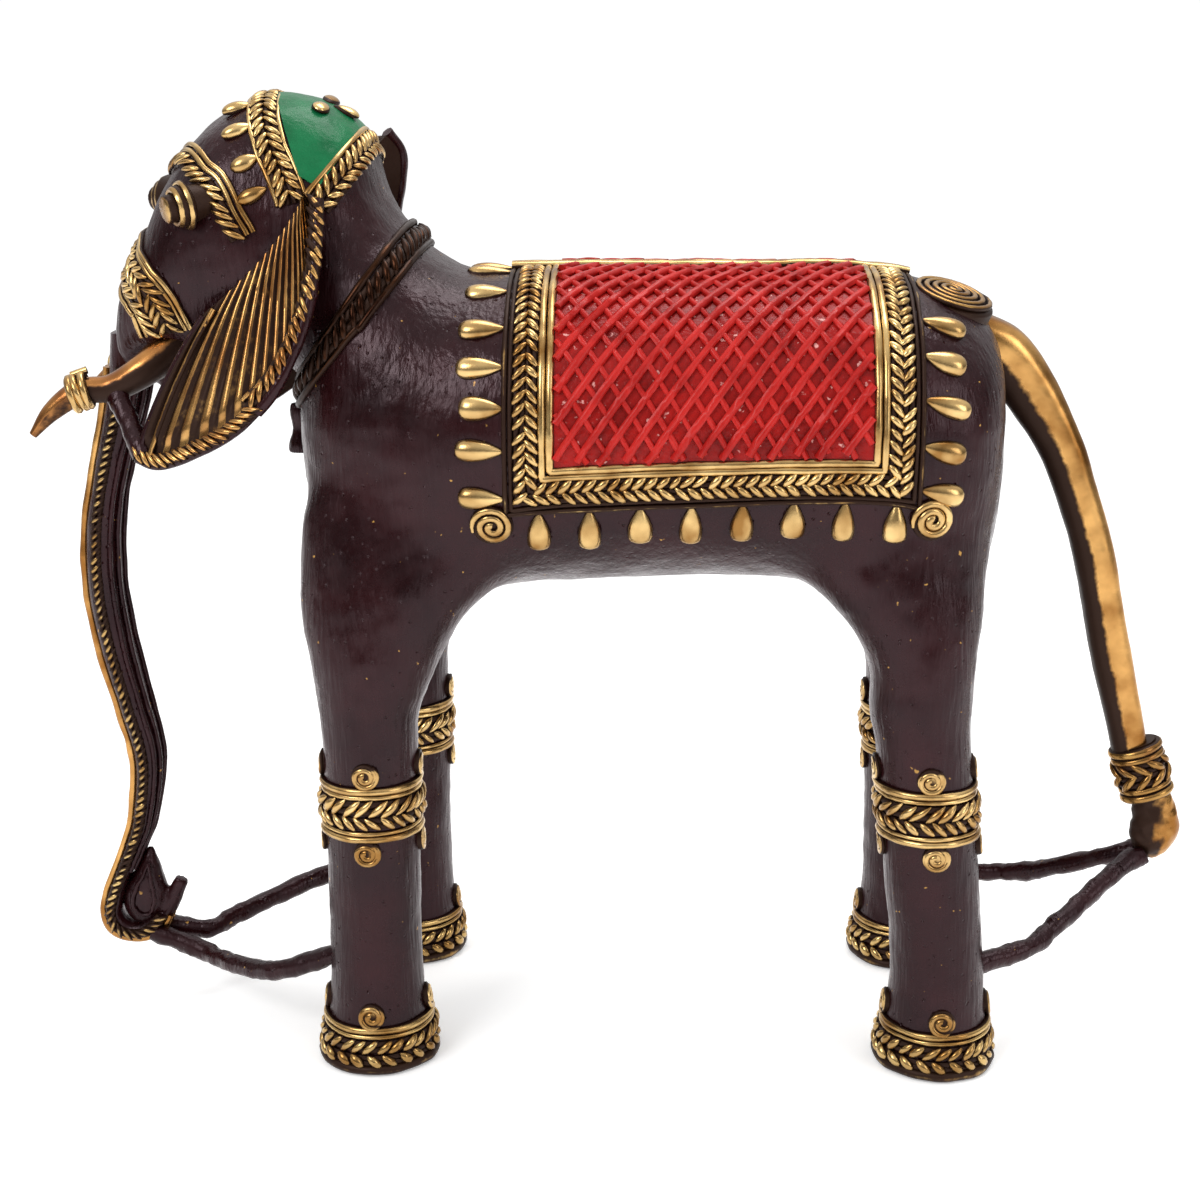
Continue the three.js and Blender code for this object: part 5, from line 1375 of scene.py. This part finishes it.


# The lattice wires are painted over with the field. The cells between them are deeper in colour, painted
# shade in the hollows, with pale specks that are painted glints.
red_paint = painted("brushed_red_enamel", "#b82622", "#941512", brush_size=1.923)
cell_paint_with_painted_shade = painted("red_enamel_with_painted_shade_and_glints", "#9e1815", "#6e0c0a", brush_size=1.111, specks=0.65)
lattice_pitch, under_border = 4.7, 0.6
for side_name, side in SIDES:
    def field_place(u, v):
        """Places on the painted field: u runs along the back, and v down from the spine."""
        wide = blanket_front + blanket_back - 2 * border_width + 2 * under_border
        x = -blanket_front + border_width - under_border + u * wide
        return flank(x, spine_edge + 0.2 + v * (blanket_drop - border_width - 1.2), side)

    field = painted_sheet(f"{side_name}_blanket_ground", rows=60, columns=60, place_at=field_place,
                          lift=0.55, thickness=1.2)
    set_out(field, [f"{side_name}_blanket_field"], cell_paint_with_painted_shade)

    threads = []
    left, right = -blanket_front + border_width, blanket_back - border_width
    low = blanket_drop - border_width
    x = np.linspace(left + 0.5, right - 0.5, 60)
    for slope, radius, lift in [(1.33, 0.84, 1.0), (-1.55, 0.62, 0.8)]:
        reach = (right - left) * abs(slope) + low
        for start in np.arange(-reach, reach + low, lattice_pitch * abs(slope)):
            drop = start - slope * (x - left)
            inside = (drop > spine_edge + 1.6) & (drop < low - 0.4)
            if inside.sum() < 4:
                continue
            points, out = pressed(evenly(flank(x[inside], drop[inside], side), 1.1, False), skin_surface)
            uneven = waver(len(points), False, 0.08, len(threads))
            threads.append((points + out * lift, radius + uneven, False))
    lattice = drawn(f"{side_name}_blanket_lattice", threads, roundness=1)
    set_out(lattice, [f"{side_name}_blanket_field"], red_paint)

    inner, outer = [
        [wire(border_line(inset, side), radius, seed=int(inset * 10))[0] for inset, radius in pair]
        for pair in ([(7.75, 0.8), (9.35, 0.85)], [(0.5, 0.55), (1.65, 0.5)])]
    outer = drawn(f"{side_name}_blanket_outer_wires", outer)
    rub(outer, skin_surface, low=0.55, high=1.15)
    set_out(outer, [f"{side_name}_blanket_border"], worn_brass)
    ropes = [(border_line(inset, side), 1.25, 2.45, hand) for inset, hand in [(3.45, side), (5.75, -side)]]
    border = banded(f"{side_name}_blanket_border_threads", inner, ropes, skin_surface)
    set_out(border, [f"{side_name}_blanket_border"], brass)

    side_spots = [(flank(-blanket_front + 0.5, down, side)[0], np.array([-1.0, 0, 0.02]))
                  for down in (65.4, 55.2, 47.2, 39, 30.2, 18.2, 4)]
    side_spots += [(flank(blanket_back - 0.5, down, side)[0], np.array([1.0, 0, -0.24]))
                   for down in (64.8, 55.4, 46, 36.6, 27.2)]
    low_spots = [(flank(-blanket_front + 7 + i * (blanket_back + blanket_front - 12) / 7, blanket_drop - 0.6,
                        side)[0], -UP) for i in range(8)]
    side_drop = drop_shape("drop", length=9.4, width=4.7, height=1.9, bluntness=2.6)
    side_drops = set_down("side_drops", side_drop, side_spots)
    low_drop = drop_shape("low_drop", length=8.2, width=4.8, height=1.9, belly_at=0.74, bluntness=4.0)
    low_drops = set_down("low_drops", low_drop, low_spots)
    drops = joined(f"{side_name}_blanket_drops", [side_drops, low_drops])
    rub(drops, skin_surface, low=0.0, high=0.9, sides=0.0)
    set_out(drops, [f"{side_name}_blanket_border"], brass)

    corners = []
    for x in (-blanket_front - 2.2, blanket_back + 2.2):
        point, out = pressed(flank(x, blanket_drop + 1.2, side), skin_surface)
        corners.append((point[0], unit(out[0]), UP))
    coils = spirals(f"{side_name}_blanket_corner_spirals", corners, turns=2.3, reach=4.9, radius=0.8,
                    pad_radius=4.2, pad_height=0.6, low=0.75, high=1.1)
    set_out(coils, [f"{side_name}_blanket_border"], brass)

spine_x = np.linspace(-blanket_front, blanket_back, 120)
threads = []
for side in (NEAR, FAR):
    threads += wire(laid(flank(spine_x, 1.0, side), skin_surface), 1.0, height=0.85, seed=81)
spine = drawn("spine_threads", threads)
rub(spine, skin_surface, low=0.2, high=0.5, sides=0.2)
set_out(spine, ["spine_wires"], brass)


# Stays. Casting runners left in place: rough dark bars from the trunk tip and the tuft to the legs, and from
# each tusk to the tip of the ear.

stay_steps = 70
for side_name, side, sag, lift in (("near", NEAR, 0.7, 0), ("far", FAR, -0.4, 1.4)):
    leg_y = side * leg_spread / 2
    front, hind = front_leg_x - leg_radius, hind_leg_x + leg_radius
    front_line = np.array([
        (-105.8, side * 2.5, 16.0),
        (front - 34, leg_y * 0.12, 13.4 - 2 * sag),
        (front - 28, leg_y * 0.33, 13.2 - 1.6 * sag + lift),
        (front - 14, leg_y * 0.8, 16.4 - sag + lift),
        (front + 3, leg_y, 22.9),
    ]) + [centre_x, 0, 0]
    hind_line = np.array([
        (tail_reach + 4, side * 2.2, tail_end - 24.6),
        (tail_reach - 1, side * 3.4, tail_end - 26.8),
        (hind + 19, side * 14, 26.2),
        (hind + 10, side * 21, 22.6),
        (hind - 3, leg_y, 21.0),
    ]) + [centre_x, 0, 0]
    tusk_point = np.array([-poll - 55.2 + centre_x, side * 16.0, jaw - 3.2])
    ear_point = ear_leaf(side, 0.97, 0.97)[0]
    for name, line, radius in [
        ("front_stay", front_line, 2.2), ("hind_stay", hind_line, 2.15),
        ("tusk_stay", np.array([tusk_point, (tusk_point + ear_point) / 2, ear_point]), 1.75),
    ]:
        radii = radius + waver(stay_steps, False, 0.2, len(name) + side)
        stay = drawn(f"{side_name}_{name}_bar",
                     [(through(line, np.linspace(0, 1, stay_steps)), radii, False)], roundness=4)
        if name == "tusk_stay":          # it is a flat bar, a quarter wider than thick
            points = take(stay)
            along = unit(line[-1] - line[0])
            wide = unit(np.cross(along, [0, 1.0, 0]))
            points += wide * ((points - line[0]) @ wide)[:, None] * 0.25
            give(stay, points)
        hand_worked(stay, wax_dents, depth=1.1)
        smooth(stay, angle=70)
        set_out(stay, [f"{side_name}_{name}"], patina)


# Studio. A pale floor, a pale surround and soft boxes at both sides of the camera. The wall that the camera
# sees is plain white, and what the metal mirrors is dimmer towards the floor.

deselect()
floor_size, mottle_size = 6.0, 0.15          # in metres
bpy.ops.mesh.primitive_plane_add(size=floor_size)
floor = bpy.context.active_object
floor.name = "floor"
# Matt paper with a faint mottle, which glows a little so that it stays pale in the shade of the figure
paper, shader, links = new_material("matt_white_paper")
fibres = add_node(paper, "ShaderNodeTexNoise", Scale=floor_size / mottle_size)
tint = add_node(paper, "ShaderNodeValToRGB", [("Fac", fibres.outputs["Fac"])])
tint.color_ramp.elements[0].color = linear("#f4f4f4")
tint.color_ramp.elements[1].color = linear("#ffffff")
links.new(tint.outputs["Color"], shader.inputs["Base Color"])
shader.inputs["Roughness"].default_value = 0.9
shader.inputs["Emission Color"].default_value = linear("#ffffff")
shader.inputs["Emission Strength"].default_value = 0.3
floor.data.materials.append(paper)

world = bpy.data.worlds.new("studio")
bpy.context.scene.world = world
world.use_nodes = True
paper_wall = world.node_tree.nodes["Background"]
paper_wall.inputs["Color"].default_value = linear("#ffffff")
paper_wall.inputs["Strength"].default_value = 1.02
room = add_node(world, "ShaderNodeBackground")
facing = add_node(world, "ShaderNodeTexCoord")
height = add_node(world, "ShaderNodeSeparateXYZ", [("Vector", facing.outputs["Generated"])])
rise = add_node(world, "ShaderNodeMapRange", [("Value", height.outputs["Z"])],
                From_Min=0.1, From_Max=0.8, To_Min=0.16, To_Max=1.1)
behind = add_node(world, "ShaderNodeMapRange", [("Value", height.outputs["Y"])],
                  From_Min=-0.2, From_Max=0.9, To_Min=0.0, To_Max=0.55)
glow = add_node(world, "ShaderNodeMath", [(0, rise.outputs["Result"]), (1, behind.outputs["Result"])],
                operation="ADD")
world.node_tree.links.new(glow.outputs["Value"], room.inputs["Strength"])
seen = add_node(world, "ShaderNodeLightPath")
either = add_node(world, "ShaderNodeMixShader", [(0, seen.outputs["Is Camera Ray"]), (1, room.outputs[0]),
                                                 (2, paper_wall.outputs[0])])
world.node_tree.links.new(either.outputs[0], world.node_tree.nodes["World Output"].inputs["Surface"])
bpy.context.scene.view_settings.view_transform = "Standard"


figure_middle = (0, 0, 0.1)


def soft_box(name, place, size, power):
    """A lamp behind a white cloth, aimed at the figure."""
    light = bpy.data.lights.new(name, "AREA")
    light.shape = "RECTANGLE"
    light.size, light.size_y = size
    light.energy = power
    lamp = bpy.data.objects.new(name, light)
    lamp.location = place
    lamp.rotation_euler = (Vector(figure_middle) - Vector(place)).to_track_quat("-Z", "Y").to_euler()
    bpy.context.scene.collection.objects.link(lamp)


soft_box("key_light", place=(-0.45, -0.55, 0.6), size=(0.35, 0.35), power=3.2)
soft_box("fill_light", place=(0.65, -0.55, 0.4), size=(0.3, 0.5), power=1.6)
soft_box("top_light", place=(0.1, 0.15, 0.8), size=(0.5, 0.3), power=2.6)
